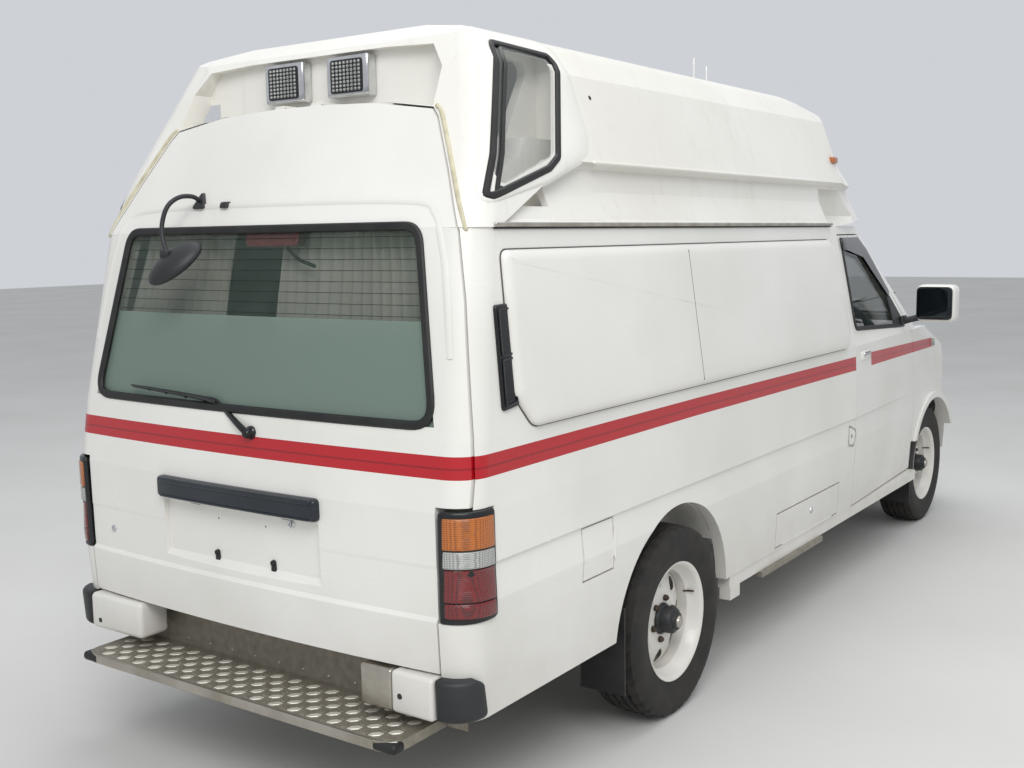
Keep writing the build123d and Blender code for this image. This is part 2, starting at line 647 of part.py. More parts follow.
# Rear axle on leaf springs, front crossmember and knuckles
axle = cross_cylinder(0, tyre_radius, 42, -700, 700) + Pos(0, 0, tyre_radius) * Sphere(140)
drum = cross_cylinder(0, tyre_radius, 105, 690, rear_half_track + hub_back - running)
axle = axle + drum + mirrored(drum)
spring = box(-640, 640, 520, 590, tyre_radius - 62, tyre_radius - 42 - seat)
spring = spring + box(-640, -600, 520, 590, tyre_radius - 62, 560 - seat) + box(600, 640, 520, 590, tyre_radius - 62, 560 - seat)
write("rear_axle", axle, both(spring))
kingpin_low = tyre_radius - kingpin_height / 2 - seat
kingpin_high = tyre_radius + kingpin_height / 2 + seat
crossmember = box(wheelbase - 70, wheelbase + 70, -400, 400, kingpin_low - 20, rail_z)
lower_arm = box(wheelbase - 40, wheelbase + 40, 400 + seat, knuckle_y + 30, kingpin_low - 20, kingpin_low)
arm_root = 400 + seat
upper_arm = box(wheelbase - 40, wheelbase + 40, arm_root, knuckle_y + 30, kingpin_high, kingpin_high + 20)
write("chassis_frame", frame_parts + crossmember)
write("suspension_arms", both(lower_arm), both(upper_arm))
knuckle = Pos(wheelbase, knuckle_y, tyre_radius) * Cylinder(26, kingpin_height)
knuckle = knuckle + cross_cylinder(wheelbase, tyre_radius, 72, knuckle_y + 40, front_half_track + hub_back - running)
knuckle = knuckle + cross_cylinder(wheelbase, tyre_radius, 30, knuckle_y, knuckle_y + 60)
write("knuckle_left", knuckle)
write("knuckle_right", mirrored(knuckle))


def wheel_parts(x, y):
    """Tyre and steel wheel on the left side, outer face towards +y, centred on x and y."""
    t = tyre_width / 2
    w = rim_width / 2
    tyre_section = [
        (197, -w + 8), (222, -w + 6), (275, -t), (325, -t + 14), (tyre_radius, -t + 34),
        (tyre_radius, t - 34), (325, t - 14), (275, t), (222, w - 6), (197, w - 8),
    ]
    barrel_section = [
        (188, -w), (rim_radius, -w), (rim_radius, -w + 6), (196, -w + 7),
        (196, w - 7), (rim_radius, w - 6), (rim_radius, w), (188, w),
    ]
    disc_section = [
        (hub_radius - 10, 16), (110, 16), (150, 4), (165, -6), (190, -20),
        (190, -8), (170, 4), (153, 13), (112, 24), (hub_radius - 10, 24),
    ]
    tyre = revolve(make_face(Plane.XY * Polyline(*tyre_section, close=True)), Axis.Y)
    barrel = revolve(make_face(Plane.XY * Polyline(*barrel_section, close=True)), Axis.Y)
    disc = revolve(make_face(Plane.XY * Polyline(*disc_section, close=True)), Axis.Y)
    slot = side_prism([(112, -9), (150, -20), (154, 0), (150, 20), (112, 9)], -40, 40)
    for i in range(8):
        disc = disc - Rot(0, 45 * i, 0) * slot
    rim = barrel + disc + cross_cylinder(0, 0, hub_radius, hub_back, w + 10)
    place = Pos(x, y, tyre_radius)
    return place * tyre, place * rim


for name, x, y in (("rear", 0.0, rear_half_track), ("front", wheelbase, front_half_track)):
    tyre, rim = wheel_parts(x, y)
    write("tyre_" + name + "_left", tyre)
    write("tyre_" + name + "_right", mirrored(tyre))
    write("wheel_" + name + "_left", rim)
    write("wheel_" + name + "_right", mirrored(rim))

# Power train and tank as plain blocks
rail_inner = rail_half_spacing - rail_width / 2
engine = box(3420, 3800, -230, 230, 525, 880) + box(2850, 3420, -150, 150, 435, 555)
engine = engine + box(3490, 3550, -rail_inner + seat, rail_inner - seat, 530, 555)
write("engine_block", engine)
tank = box(900, 1700, 410, 560, 400, floor_z - seat)
write("fuel_tank", tank)
exhaust = Pos(-560, -430, 345) * Rot(0, 90, 0) * Cylinder(75, 520)
exhaust = exhaust + Pos(-960, -430, 345) * Rot(0, 90, 0) * Cylinder(24, 280)
exhaust = exhaust + box(-570, -550, -440, -420, 400, floor_z - seat)
write("exhaust", exhaust)

# Rear bumper and step
cap = box(bumper_rear_x, -1165, bumper_cap_y, 874, bumper_bottom_z, bumper_top_z)
cap = fillet(cap.edges().filter_by(Axis.Z).sort_by(Axis.X)[:2].sort_by(Axis.Y)[-1:], 55)
cap = cap - plan_loft(BODY_LEVELS, -seat, below=20)
write("rear_bumper", both(cap))
box_bottom = step_z + gap
bumper_box = box(bumper_rear_x, step_front_x - seat, bumper_box_y, bumper_cap_y - seat, bumper_bottom_z, bumper_top_z)
write("bumper_boxes", both(bumper_box))
step = box(step_rear_x, step_front_x, -step_half_width, step_half_width, step_z - step_thickness, step_z)
step = fillet(step.edges().filter_by(Axis.Z).sort_by(Axis.X)[:2], step_corner)
riser = box(step_front_x, step_front_x + 4, -bumper_cap_y, bumper_cap_y, step_z - step_thickness, tailgate_bottom_z - 8)
write("rear_step", step + riser)

# Seats and dashboard seen through the cab glass
seat_set = []
for y in (-420, 420):
    cushion = box(2240, 2720, y - 250, y + 250, 800, 930) + box(2140, 2260, y - 240, y + 240, 930, 1480)
    seat_set += solids_of(cushion + box(2260, 2700, y - 200, y + 200, floor_z + floor_thickness, 800))
write("cab_seats", seat_set)
dashboard = box(3060, firewall_x - seat, -700, 700, 850, 1120)
wheel_ring = Pos(2960, -420, 1080) * Rot(0, -65, 0) * Torus(190, 14)
column_bar = side_arm((3070, -420, 1010), (2950, -420, 1075), 22)
spokes = Pos(2960, -420, 1080) * Rot(0, -65, 0) * Box(30, 380, 14)
write("dashboard", (dashboard & plan_loft(UPPER_LEVELS, wall + 10, below=400)) + wheel_ring + column_bar + spokes)
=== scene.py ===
"""Looks of a high-roof van ambulance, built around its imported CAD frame.

Tables and shape functions are in drawing millimetres: x forward of the rear axle, y to the left, z
above ground. `metres` turns them to the frame's metres. Shells are pairs of points and lists of
equal-sided face arrays.
"""
import json
import math

import bmesh
import bpy
import numpy as np
from mathutils import Matrix, Vector


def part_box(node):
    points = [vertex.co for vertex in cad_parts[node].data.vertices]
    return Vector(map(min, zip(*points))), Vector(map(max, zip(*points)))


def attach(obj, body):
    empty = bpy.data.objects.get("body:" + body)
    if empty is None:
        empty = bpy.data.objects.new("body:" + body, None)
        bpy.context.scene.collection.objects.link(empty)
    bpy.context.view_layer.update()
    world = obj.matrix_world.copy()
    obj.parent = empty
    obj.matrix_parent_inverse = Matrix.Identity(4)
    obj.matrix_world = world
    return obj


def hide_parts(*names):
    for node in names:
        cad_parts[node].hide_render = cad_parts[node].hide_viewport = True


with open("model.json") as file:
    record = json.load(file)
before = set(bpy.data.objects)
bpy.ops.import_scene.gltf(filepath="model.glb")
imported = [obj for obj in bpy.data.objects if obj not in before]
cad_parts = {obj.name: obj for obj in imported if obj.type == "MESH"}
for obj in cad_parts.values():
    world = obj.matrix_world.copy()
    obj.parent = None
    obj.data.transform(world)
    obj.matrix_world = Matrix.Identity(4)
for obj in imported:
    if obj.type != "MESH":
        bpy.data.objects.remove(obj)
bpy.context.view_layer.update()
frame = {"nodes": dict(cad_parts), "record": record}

AXLE_TO_MIDDLE = 1336.0
SIDES = ((-1.0, "right"), (1.0, "left"))

# Camera at the photograph's place, in metres from the ground under the vehicle's middle
CAMERA_PLACE = Vector((-5.0184, -2.7304, 1.7281))
CAMERA_YAW = math.radians(35.0581)
CAMERA_PITCH = math.radians(-7.1488)
CAMERA_ROLL = math.radians(-0.8728)
CAMERA_LENS = 41.28


def place_camera():
    """Camera looking along the yaw and pitch, turned about its own axis by the roll."""
    level = math.cos(CAMERA_PITCH)
    forward = Vector((level * math.cos(CAMERA_YAW), level * math.sin(CAMERA_YAW), math.sin(CAMERA_PITCH)))
    right = Vector((math.sin(CAMERA_YAW), -math.cos(CAMERA_YAW), 0.0))
    up = right.cross(forward)
    tilted_right = right * math.cos(CAMERA_ROLL) + up * math.sin(CAMERA_ROLL)
    tilted_up = up * math.cos(CAMERA_ROLL) - right * math.sin(CAMERA_ROLL)
    data = bpy.data.cameras.new("photo_camera")
    data.lens = CAMERA_LENS
    data.sensor_width = 36.0
    camera = bpy.data.objects.new("photo_camera", data)
    turn = Matrix((tilted_right, tilted_up, -forward)).transposed().to_4x4()
    camera.matrix_world = Matrix.Translation(CAMERA_PLACE) @ turn
    bpy.context.collection.objects.link(camera)
    bpy.context.scene.camera = camera


place_camera()

# The body's own surfaces: rows of plan sections, and functions that place points on them
CORNER_RADIUS = 95.0
NOSE_RADIUS = 260.0
PILLAR_X = 1866.0
NOSE_CROWN = 60.0
# z, rear x, crown of the rear face, half width at the tail, at the pillar, at the nose, nose x
BODY_ROWS = np.array([
    (391.0, -1239.0, 30.0, 852.0, 850.0, 780.0, 3860.0),
    (678.0, -1255.0, 32.0, 866.0, 866.0, 797.0, 3860.0),
    (690.0, -1245.0, 32.0, 867.0, 867.0, 798.0, 3860.0),
    (726.0, -1246.0, 32.0, 870.0, 870.0, 800.0, 3860.0),
    (826.0, -1248.0, 32.0, 861.0, 861.0, 797.0, 3860.0),
    (836.0, -1249.0, 32.0, 870.0, 870.0, 800.0, 3860.0),
    (985.0, -1251.0, 32.0, 869.0, 869.0, 795.0, 3860.0),
    (1180.0, -1226.0, 32.0, 860.0, 860.0, 770.0, 3860.0),
])
LOAD_ROWS = np.array([
    (1180.0, -1226.0, 32.0, 860.0, 860.0, 790.0, 3290.0),
    (1756.0, -1123.0, 32.0, 814.0, 800.0, 700.0, 2610.0),
])
CAB_ROWS = np.array([
    (1180.0, -1226.0, 32.0, 856.0, 852.0, 790.0, 3290.0),
    (1756.0, -1123.0, 32.0, 770.0, 745.0, 655.0, 2610.0),
])
ROOF_ROWS = np.array([
    (1756.0, -1123.0, 32.0, 822.0, 812.0, 700.0, 2620.0),
    (1778.0, -1117.0, 32.0, 800.0, 790.0, 680.0, 2620.0),
    (1866.0, -1075.0, 32.0, 760.0, 752.0, 655.0, 2560.0),
    (1935.0, -1038.0, 32.0, 750.0, 744.0, 650.0, 2480.0),
    (1957.0, -1026.0, 32.0, 782.0, 776.0, 680.0, 2460.0),
    (2452.0, -790.0, 30.0, 602.0, 600.0, 420.0, 2260.0),
])
COLUMN_ROWS = ROOF_ROWS[[0, 4, 5]]


def spread(u, v, h):
    """The three coordinates as arrays of one shape."""
    return np.broadcast_arrays(*(np.asarray(value, float) for value in (u, v, h)))


def section(rows, z):
    """Columns of the plan section at heights z, straight between the rows."""
    return [np.interp(z, rows[:, 0], rows[:, i]) for i in range(1, rows.shape[1])]


def flank(x, z, rows):
    """Half width of the body: straight from tail to pillar to nose, with a quarter circle at each end."""
    rear, _, tail, pillar, front, nose = section(rows, z)
    start = rear + CORNER_RADIUS
    turn = nose - NOSE_RADIUS
    y = tail + (pillar - tail) * (x - start) / (PILLAR_X - start)
    y = np.where(x > PILLAR_X, pillar + (front - pillar) * (x - PILLAR_X) / (turn - PILLAR_X), y)
    back = np.clip(start - x, 0.0, CORNER_RADIUS)
    ahead = np.clip(x - turn, 0.0, NOSE_RADIUS)
    y = np.where(x < start, tail - CORNER_RADIUS + np.sqrt(CORNER_RADIUS ** 2 - back ** 2), y)
    return np.where(x > turn, front - NOSE_RADIUS + np.sqrt(NOSE_RADIUS ** 2 - ahead ** 2), y)


def tail_x(y, z, rows):
    """The rear face's x: an arc through its crown and its two corners, then a quarter circle."""
    rear, crown, tail = section(rows, z)[:3]
    half = tail - CORNER_RADIUS
    radius = (crown ** 2 + half ** 2) / (2 * crown)
    side = np.abs(y)
    x = rear - crown + radius - np.sqrt(radius ** 2 - np.minimum(side, half) ** 2)
    past = np.clip(side - half, 0.0, CORNER_RADIUS)
    return np.where(side > half, rear + CORNER_RADIUS - np.sqrt(CORNER_RADIUS ** 2 - past ** 2), x)


def nose_x(y, z, rows):
    """The front face's x: an arc that is proud by its crown in the middle, then a quarter circle."""
    front, nose = section(rows, z)[4:]
    half = front - NOSE_RADIUS
    radius = (NOSE_CROWN ** 2 + half ** 2) / (2 * NOSE_CROWN)
    side = np.abs(y)
    x = nose + NOSE_CROWN - radius + np.sqrt(radius ** 2 - np.minimum(side, half) ** 2)
    past = np.clip(side - half, 0.0, NOSE_RADIUS)
    return np.where(side > half, nose - NOSE_RADIUS + np.sqrt(NOSE_RADIUS ** 2 - past ** 2), x)


def on_flank(rows, side=-1.0):
    """Placing on the body's side: u is x, v is z, h is the height above the surface; side -1 is the
    right."""
    def place(u, v, h):
        u, v, h = spread(u, v, h)
        return np.stack([u, side * (flank(u, v, rows) + h), v], -1)
    return place


def on_tail(rows):
    """Placing on the rear face: u is y, v is z, h is the height above the surface."""
    def place(u, v, h):
        u, v, h = spread(u, v, h)
        return np.stack([tail_x(u, v, rows) - h, u, v], -1)
    return place


def round_corner(rows, side=-1.0):
    """Placing along the plan section: u runs from the middle of the tail round the corner and up the
    flank."""
    def place(u, v, h):
        u, v, h = spread(u, v, h)
        rear, _, tail = section(rows, v)[:3]
        half = tail - CORNER_RADIUS
        angle = np.clip((u - half) / CORNER_RADIUS, 0.0, math.pi / 2)
        length = CORNER_RADIUS * math.pi / 2
        x = np.where(u < half, tail_x(u, v, rows) - h,
                     rear + CORNER_RADIUS - (CORNER_RADIUS + h) * np.cos(angle))
        y = np.where(u < half, u, half + (CORNER_RADIUS + h) * np.sin(angle))
        along = rear + CORNER_RADIUS + u - half - length
        past = u > half + length
        x = np.where(past, along, x)
        y = np.where(past, flank(along, v, rows) + h, y)
        return np.stack([x, side * y, v], -1)
    return place


def on_plane(origin, across, up):
    """Placing on a plane: u along the first direction, v along the second, h along their cross product."""
    across = np.asarray(across, float) / np.linalg.norm(across)
    up = np.asarray(up, float) / np.linalg.norm(up)
    out = np.cross(across, up)

    def place(u, v, h):
        u, v, h = spread(u, v, h)
        return np.asarray(origin, float) + u[..., None] * across + v[..., None] * up + h[..., None] * out
    return place


def rearward(x):
    """Placing on an upright plane that faces back: u to the right, v is z."""
    return on_plane((x, 0, 0), (0, -1, 0), (0, 0, 1))


# Shells: outlines, pads, strips, bars, turned parts and blocks
def lattice(rows, columns, wrap_rows=False, wrap_columns=False):
    """Quads between the neighbours of a grid of points, closed on itself where it wraps."""
    i, j = np.meshgrid(np.arange(rows if wrap_rows else rows - 1),
                       np.arange(columns if wrap_columns else columns - 1), indexing="ij")
    ni, nj = (i + 1) % rows, (j + 1) % columns
    quads = np.stack([i * columns + j, ni * columns + j, ni * columns + nj, i * columns + nj], -1)
    return quads.reshape(-1, 4)


def fan(ring, centre):
    """Triangles from a closed ring of indices to one index."""
    ring = np.asarray(ring)
    return np.stack([ring, np.roll(ring, -1), np.full(len(ring), centre)], -1)


def outward(shell):
    """The shell with its faces turned outward, so that the volume under them is positive."""
    points, faces = shell
    total = 0.0
    for array in faces:
        for k in range(1, array.shape[1] - 1):
            a, b, c = points[array[:, 0]], points[array[:, k]], points[array[:, k + 1]]
            total += np.einsum("ij,ij->i", a, np.cross(b, c)).sum()
    return (points, [array[:, ::-1] for array in faces]) if total < 0 else shell


def tidy(points, faces):
    """Points about their own middle and back, so that far shells are weighed exactly."""
    points = np.asarray(points, float).reshape(-1, 3)
    middle = points.mean(0)
    turned = outward((points - middle, faces))
    return turned[0] + middle, turned[1]


def mirrored(shell):
    """The same shell on the other side of the vehicle."""
    return tidy(shell[0] * (1.0, -1.0, 1.0), shell[1])


def both(*shells):
    """Each shell and its mirror image."""
    return list(shells) + [mirrored(shell) for shell in shells]


def rounded(corners, radius, step=40.0, turn=5):
    """Closed outline with arcs at its corners: each arc is a quadratic curve between its tangent points,
    and each straight run is divided into steps."""
    corners = np.asarray(corners, float)
    radii = np.broadcast_to(radius, (len(corners),))
    before, after = np.roll(corners, 1, 0), np.roll(corners, -1, 0)
    pull = []
    for a, c, b, r in zip(before, corners, after, radii):
        to_a, to_b = (a - c) / np.linalg.norm(a - c), (b - c) / np.linalg.norm(b - c)
        half = math.acos(np.clip(np.dot(to_a, to_b), -1, 1)) / 2
        reach = min(r / math.tan(half), 0.49 * np.linalg.norm(a - c), 0.49 * np.linalg.norm(b - c))
        t = np.linspace(0, 1, turn)[:, None]
        pull.append((1 - t) ** 2 * (c + to_a * reach) + 2 * t * (1 - t) * c + t ** 2 * (c + to_b * reach))
    line = []
    for arc, following in zip(pull, pull[1:] + pull[:1]):
        count = max(int(np.linalg.norm(following[0] - arc[-1]) / step), 1)
        t = np.linspace(0, 1, count + 1)[1:-1, None]
        line += [arc, arc[-1] * (1 - t) + following[0] * t]
    line = np.concatenate(line)
    area = np.sum(line[:, 0] * np.roll(line[:, 1], -1) - np.roll(line[:, 0], -1) * line[:, 1])
    return line if area > 0 else line[::-1]


def oblong(left, low, right, high):
    """Corners of a rectangle, anticlockwise."""
    return [(left, low), (right, low), (right, high), (left, high)]


def inset(outline, amount):
    """The closed outline moved inward along its own normals."""
    ahead = np.roll(outline, -1, 0) - np.roll(outline, 1, 0)
    ahead = ahead / np.linalg.norm(ahead, axis=1, keepdims=True)
    return outline + np.stack([-ahead[:, 1], ahead[:, 0]], -1) * amount


def pad(outline, place, height, edge=4.0, back=-1.0, rings=3, crown=0.0, reach=None):
    """Slab with a rounded edge: rings step inward and upward along a quarter circle, then close on the
    middle. reach is the width of the rounding across the slab, edge its height."""
    reach = edge if reach is None else reach
    angles = np.linspace(0, math.pi / 2, rings + 1)
    stack = [place(*outline.T, np.full(len(outline), back))]
    for a in angles:
        stack.append(place(*inset(outline, reach * (1 - math.cos(a))).T,
                           height - edge + edge * math.sin(a)))
    inner = inset(outline, reach)
    middle = inner.mean(0)
    for share in (0.8, 0.55, 0.3):
        ring = middle + (inner - middle) * share
        stack.append(place(*ring.T, height + crown * (1 - share ** 2)))
    tip = place(middle[0], middle[1], height + crown)
    foot = place(*outline.mean(0), back)
    count = len(outline)
    points = np.concatenate(stack + [tip.reshape(1, 3), foot.reshape(1, 3)])
    rows = len(stack)
    faces = [lattice(rows, count, False, True)]
    faces.append(fan(np.arange((rows - 1) * count, rows * count), rows * count))
    faces.append(fan(np.arange(count)[::-1], rows * count + 1))
    return tidy(points, faces)


def strip(path, out, profile, closed=True):
    """Profile of (across, outward) pairs carried along a path; across is the path's way crossed with
    outward."""
    path, out, profile = (np.asarray(a, float) for a in (path, out, profile))
    way = np.roll(path, -1, 0) - np.roll(path, 1, 0) if closed else np.gradient(path, axis=0)
    way = way / np.linalg.norm(way, axis=1, keepdims=True)
    out = np.broadcast_to(out, path.shape)
    out = out - way * np.einsum("ij,ij->i", out, way)[:, None]
    out = out / np.linalg.norm(out, axis=1, keepdims=True)
    across = np.cross(way, out)
    points = path[:, None] + profile[None, :, :1] * across[:, None] + profile[None, :, 1:] * out[:, None]
    n, m = len(path), len(profile)
    points = points.reshape(-1, 3)
    faces = [lattice(n, m, closed, True)]
    if not closed:
        points = np.concatenate([points, points[:m].mean(0, keepdims=True),
                                 points[-m:].mean(0, keepdims=True)])
        faces += [fan(np.arange(m)[::-1], n * m), fan(np.arange((n - 1) * m, n * m), n * m + 1)]
    return tidy(points, faces)


def tube(path, radius, out=(0.0, 0.0, 1.0), sides=10, closed=False, ends=True):
    """Round bar along a path, with half-round ends where it is open."""
    path = np.asarray(path, float)
    radius = np.broadcast_to(np.asarray(radius, float), (len(path),))
    way = np.roll(path, -1, 0) - np.roll(path, 1, 0) if closed else np.gradient(path, axis=0)
    way = way / np.linalg.norm(way, axis=1, keepdims=True)
    if not closed and ends:
        k = np.array([1.0, 0.87, 0.5, 0.0])[:, None]
        s = np.array([0.05, 0.5, 0.87, 1.0])
        path = np.concatenate([path[0] - way[0] * radius[0] * k, path[1:-1],
                               path[-1] + way[-1] * radius[-1] * k[::-1]])
        radius = np.concatenate([radius[0] * s, radius[1:-1], radius[-1] * s[::-1]])
        way = np.concatenate([np.repeat(way[:1], 4, 0), way[1:-1], np.repeat(way[-1:], 4, 0)])
    side = np.cross(way, np.broadcast_to(out, way.shape))
    side = side / np.linalg.norm(side, axis=1, keepdims=True)
    up = np.cross(side, way)
    a = np.linspace(0, 2 * math.pi, sides, endpoint=False)
    round_it = np.cos(a)[:, None] * side[:, None] + np.sin(a)[:, None] * up[:, None]
    points = path[:, None] + radius[:, None, None] * round_it
    n = len(path)
    points = points.reshape(-1, 3)
    faces = [lattice(n, sides, closed, True)]
    if not closed:
        points = np.concatenate([points, path[:1], path[-1:]])
        faces += [fan(np.arange(sides)[::-1], n * sides),
                  fan(np.arange((n - 1) * sides, n * sides), n * sides + 1)]
    return tidy(points, faces)


def smooth_path(points, count=24):
    """Curve through a few points: a cubic between each pair, whose slope at a point is half the way
    between its two neighbours, evaluated at equal steps of its parameter."""
    p = np.asarray(points, float)
    p = np.concatenate([2 * p[:1] - p[1:2], p, 2 * p[-1:] - p[-2:-1]])
    s = np.linspace(0, len(p) - 3 - 1e-9, count)
    i = s.astype(int)
    t = (s - i)[:, None]
    a, b, c, d = p[i], p[i + 1], p[i + 2], p[i + 3]
    return 0.5 * (2 * b + (c - a) * t + (2 * a - 5 * b + 4 * c - d) * t ** 2
                  + (3 * b - a - 3 * c + d) * t ** 3)


def lathe(profile, origin, axis, sides=32, start=(0.0, 0.0, 1.0)):
    """Profile of (radius, distance along the axis) turned about the axis; it starts and ends on the
    axis."""
    profile = np.asarray(profile, float)
    axis = np.asarray(axis, float) / np.linalg.norm(axis)
    start = np.asarray(start, float)
    start = start - axis * np.dot(start, axis)
    start = start / np.linalg.norm(start)
    other = np.cross(axis, start)
    a = np.linspace(0, 2 * math.pi, sides, endpoint=False)
    turn = np.cos(a)[:, None] * start + np.sin(a)[:, None] * other
    points = np.asarray(origin, float) + profile[:, None, 1:] * axis + profile[:, None, :1] * turn[None]
    return tidy(points.reshape(-1, 3), [lattice(len(profile), sides, False, True)])


def block(low, high, radius=3.0, steps=3):
    """Box with rounded edges: a sphere whose eight parts are pulled apart to the box's corners."""
    low, high = np.asarray(low, float), np.asarray(high, float)
    radius = min(radius, (high - low).min() / 2 * 0.999)
    quarter = np.linspace(0, math.pi / 2, steps + 1)
    around = np.concatenate([quarter + k * math.pi / 2 for k in range(4)])
    up = np.concatenate([-quarter[::-1], quarter])
    sx = np.repeat([1.0, -1.0, -1.0, 1.0], steps + 1)
    sy = np.repeat([1.0, 1.0, -1.0, -1.0], steps + 1)
    sz = np.repeat([-1.0, 1.0], steps + 1)
    n = np.stack([np.outer(np.cos(up), np.cos(around)), np.outer(np.cos(up), np.sin(around)),
                  np.outer(np.sin(up), np.ones(len(around)))], -1)
    signs = np.stack(np.broadcast_arrays(sx[None, :], sy[None, :], sz[:, None]), -1)
    points = (low + high) / 2 + signs * ((high - low) / 2 - radius) + n * radius
    rows, count = points.shape[:2]
    ends = np.array([points[0].mean(0), points[-1].mean(0)])
    points = np.concatenate([points.reshape(-1, 3), ends])
    faces = [lattice(rows, count, False, True), fan(np.arange(count)[::-1], rows * count),
             fan(np.arange((rows - 1) * count, rows * count), rows * count + 1)]
    return tidy(points, faces)


def moved(shell, matrix, origin):
    """The shell turned by a 3 by 3 matrix and carried to an origin."""
    return shell[0] @ np.asarray(matrix, float).T + np.asarray(origin, float), shell[1]


def metres(points):
    """Drawing millimetres turned to metres from the ground under the vehicle's middle."""
    return (np.asarray(points, float) - (AXLE_TO_MIDDLE, 0.0, 0.0)) / 1000.0


def piece(name, shells, material, body, slot, sharp=35.0, replaces=(), weld=True):
    """One object from its shells: doubles merged, smooth but for edges sharper than the angle, riding
    on its body."""
    shells = shells if isinstance(shells, list) else [shells]
    mesh = bpy.data.meshes.new(name)
    points, faces, start = [], [], 0
    for shell_points, shell_faces in shells:
        points.append(shell_points)
        for array in shell_faces:
            faces += (array + start).tolist()
        start += len(shell_points)
    mesh.from_pydata(metres(np.concatenate(points)).tolist(), [], faces)
    if weld:
        work = bmesh.new()
        work.from_mesh(mesh)
        bmesh.ops.remove_doubles(work, verts=work.verts, dist=1e-5)
        bmesh.ops.dissolve_degenerate(work, dist=1e-6, edges=work.edges)
        work.to_mesh(mesh)
        work.free()
    mesh.materials.append(material)
    mesh.shade_smooth()
    mesh.set_sharp_from_angle(angle=math.radians(sharp))
    made = bpy.data.objects.new(name, mesh)
    bpy.context.collection.objects.link(made)
    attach(made, body)
    if replaces:
        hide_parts(*replaces)
    return made


# Materials
def linear(hex_colour):
    """sRGB hex value turned to linear red, green and blue, with full alpha."""
    channels = [int(hex_colour[i:i + 2], 16) / 255.0 for i in (1, 3, 5)]
    return tuple(c / 12.92 if c <= 0.04045 else ((c + 0.055) / 1.055) ** 2.4 for c in channels) + (1.0,)


def add(tree, kind, sockets, output=0, **settings):
    """Adds one shader node. sockets gives values or links by socket name or number; one output comes
    back, or all."""
    made = tree.nodes.new("ShaderNode" + kind)
    for key, value in settings.items():
        setattr(made, key, value)
    for key, value in sockets.items():
        if isinstance(value, bpy.types.NodeSocket):
            tree.links.new(value, made.inputs[key])
        else:
            made.inputs[key].default_value = value
    return made.outputs if output is None else made.outputs[output]


def finish(name, **plain):
    """New material with its shader's plain values set, its node tree, and object coordinates."""
    material = bpy.data.materials.new(name)
    material.use_nodes = True
    tree = material.node_tree
    for key, value in plain.items():
        tree.nodes["Principled BSDF"].inputs[key.replace("_", " ")].default_value = value
    return material, tree, add(tree, "TexCoord", {}, "Object")


def drive(material, **links):
    """The material with its shader's sockets linked; an underscore in a name stands for a space."""
    tree = material.node_tree
    for key, value in links.items():
        tree.links.new(value, tree.nodes["Principled BSDF"].inputs[key.replace("_", " ")])
    return material


def mottle(tree, place, scale, detail, span, tones, most=1.0):
    """Noise, and a colour that goes from the first tone to the second as the noise crosses its span."""
    slow = add(tree, "TexNoise", {"Vector": place, "Scale": scale, "Detail": detail})
    share = add(tree, "MapRange", {0: slow, 1: span[0], 2: span[1], 4: most})
    return slow, add(tree, "Mix", {0: share, 6: linear(tones[0]), 7: linear(tones[1])}, 2, data_type="RGBA")


def weathered(name, tone, worn, size, fine, depth, **plain):
    """Finish with a slow change between two tones, a fine grain and a roughness that follows both.

    size is the width of the slow patches in metres, fine the grain's, depth the grain's height in metres.
    """
    material, tree, place = finish(name, **plain)
    slow, colour = mottle(tree, place, 1 / size, 4.0, (0.35, 0.68), (tone, worn))
    grain = add(tree, "TexNoise", {"Vector": place, "Scale": 1 / fine, "Detail": 2.0})
    level = plain["Roughness"]
    both_ways = add(tree, "Math", {0: slow, 1: grain}, operation="ADD")
    rough = add(tree, "MapRange", {0: both_ways, 1: 0.7, 2: 1.3, 3: level * 0.85, 4: level * 1.15})
    bump = add(tree, "Bump", {"Height": grain, "Distance": depth})
    return drive(material, Base_Color=colour, Roughness=rough, Normal=bump)


# Red band: where it bends, breaks and ends ahead of the rear axle, and the heights of its edges, in metres
BAND_START, BAND_PILLAR, BAND_END = 0.155, 2.120, 3.392
BAND_BREAK = 1.860
BAND_TOP = (1.140, 1.130, -0.030)
BAND_FOOT = (1.077, 1.064, -0.016)
LINE_SHARE, LINE_HALF = 0.46, 0.045
DUST_FROM, DUST_FULL, DUST_MOST = 0.72, 0.28, 0.55


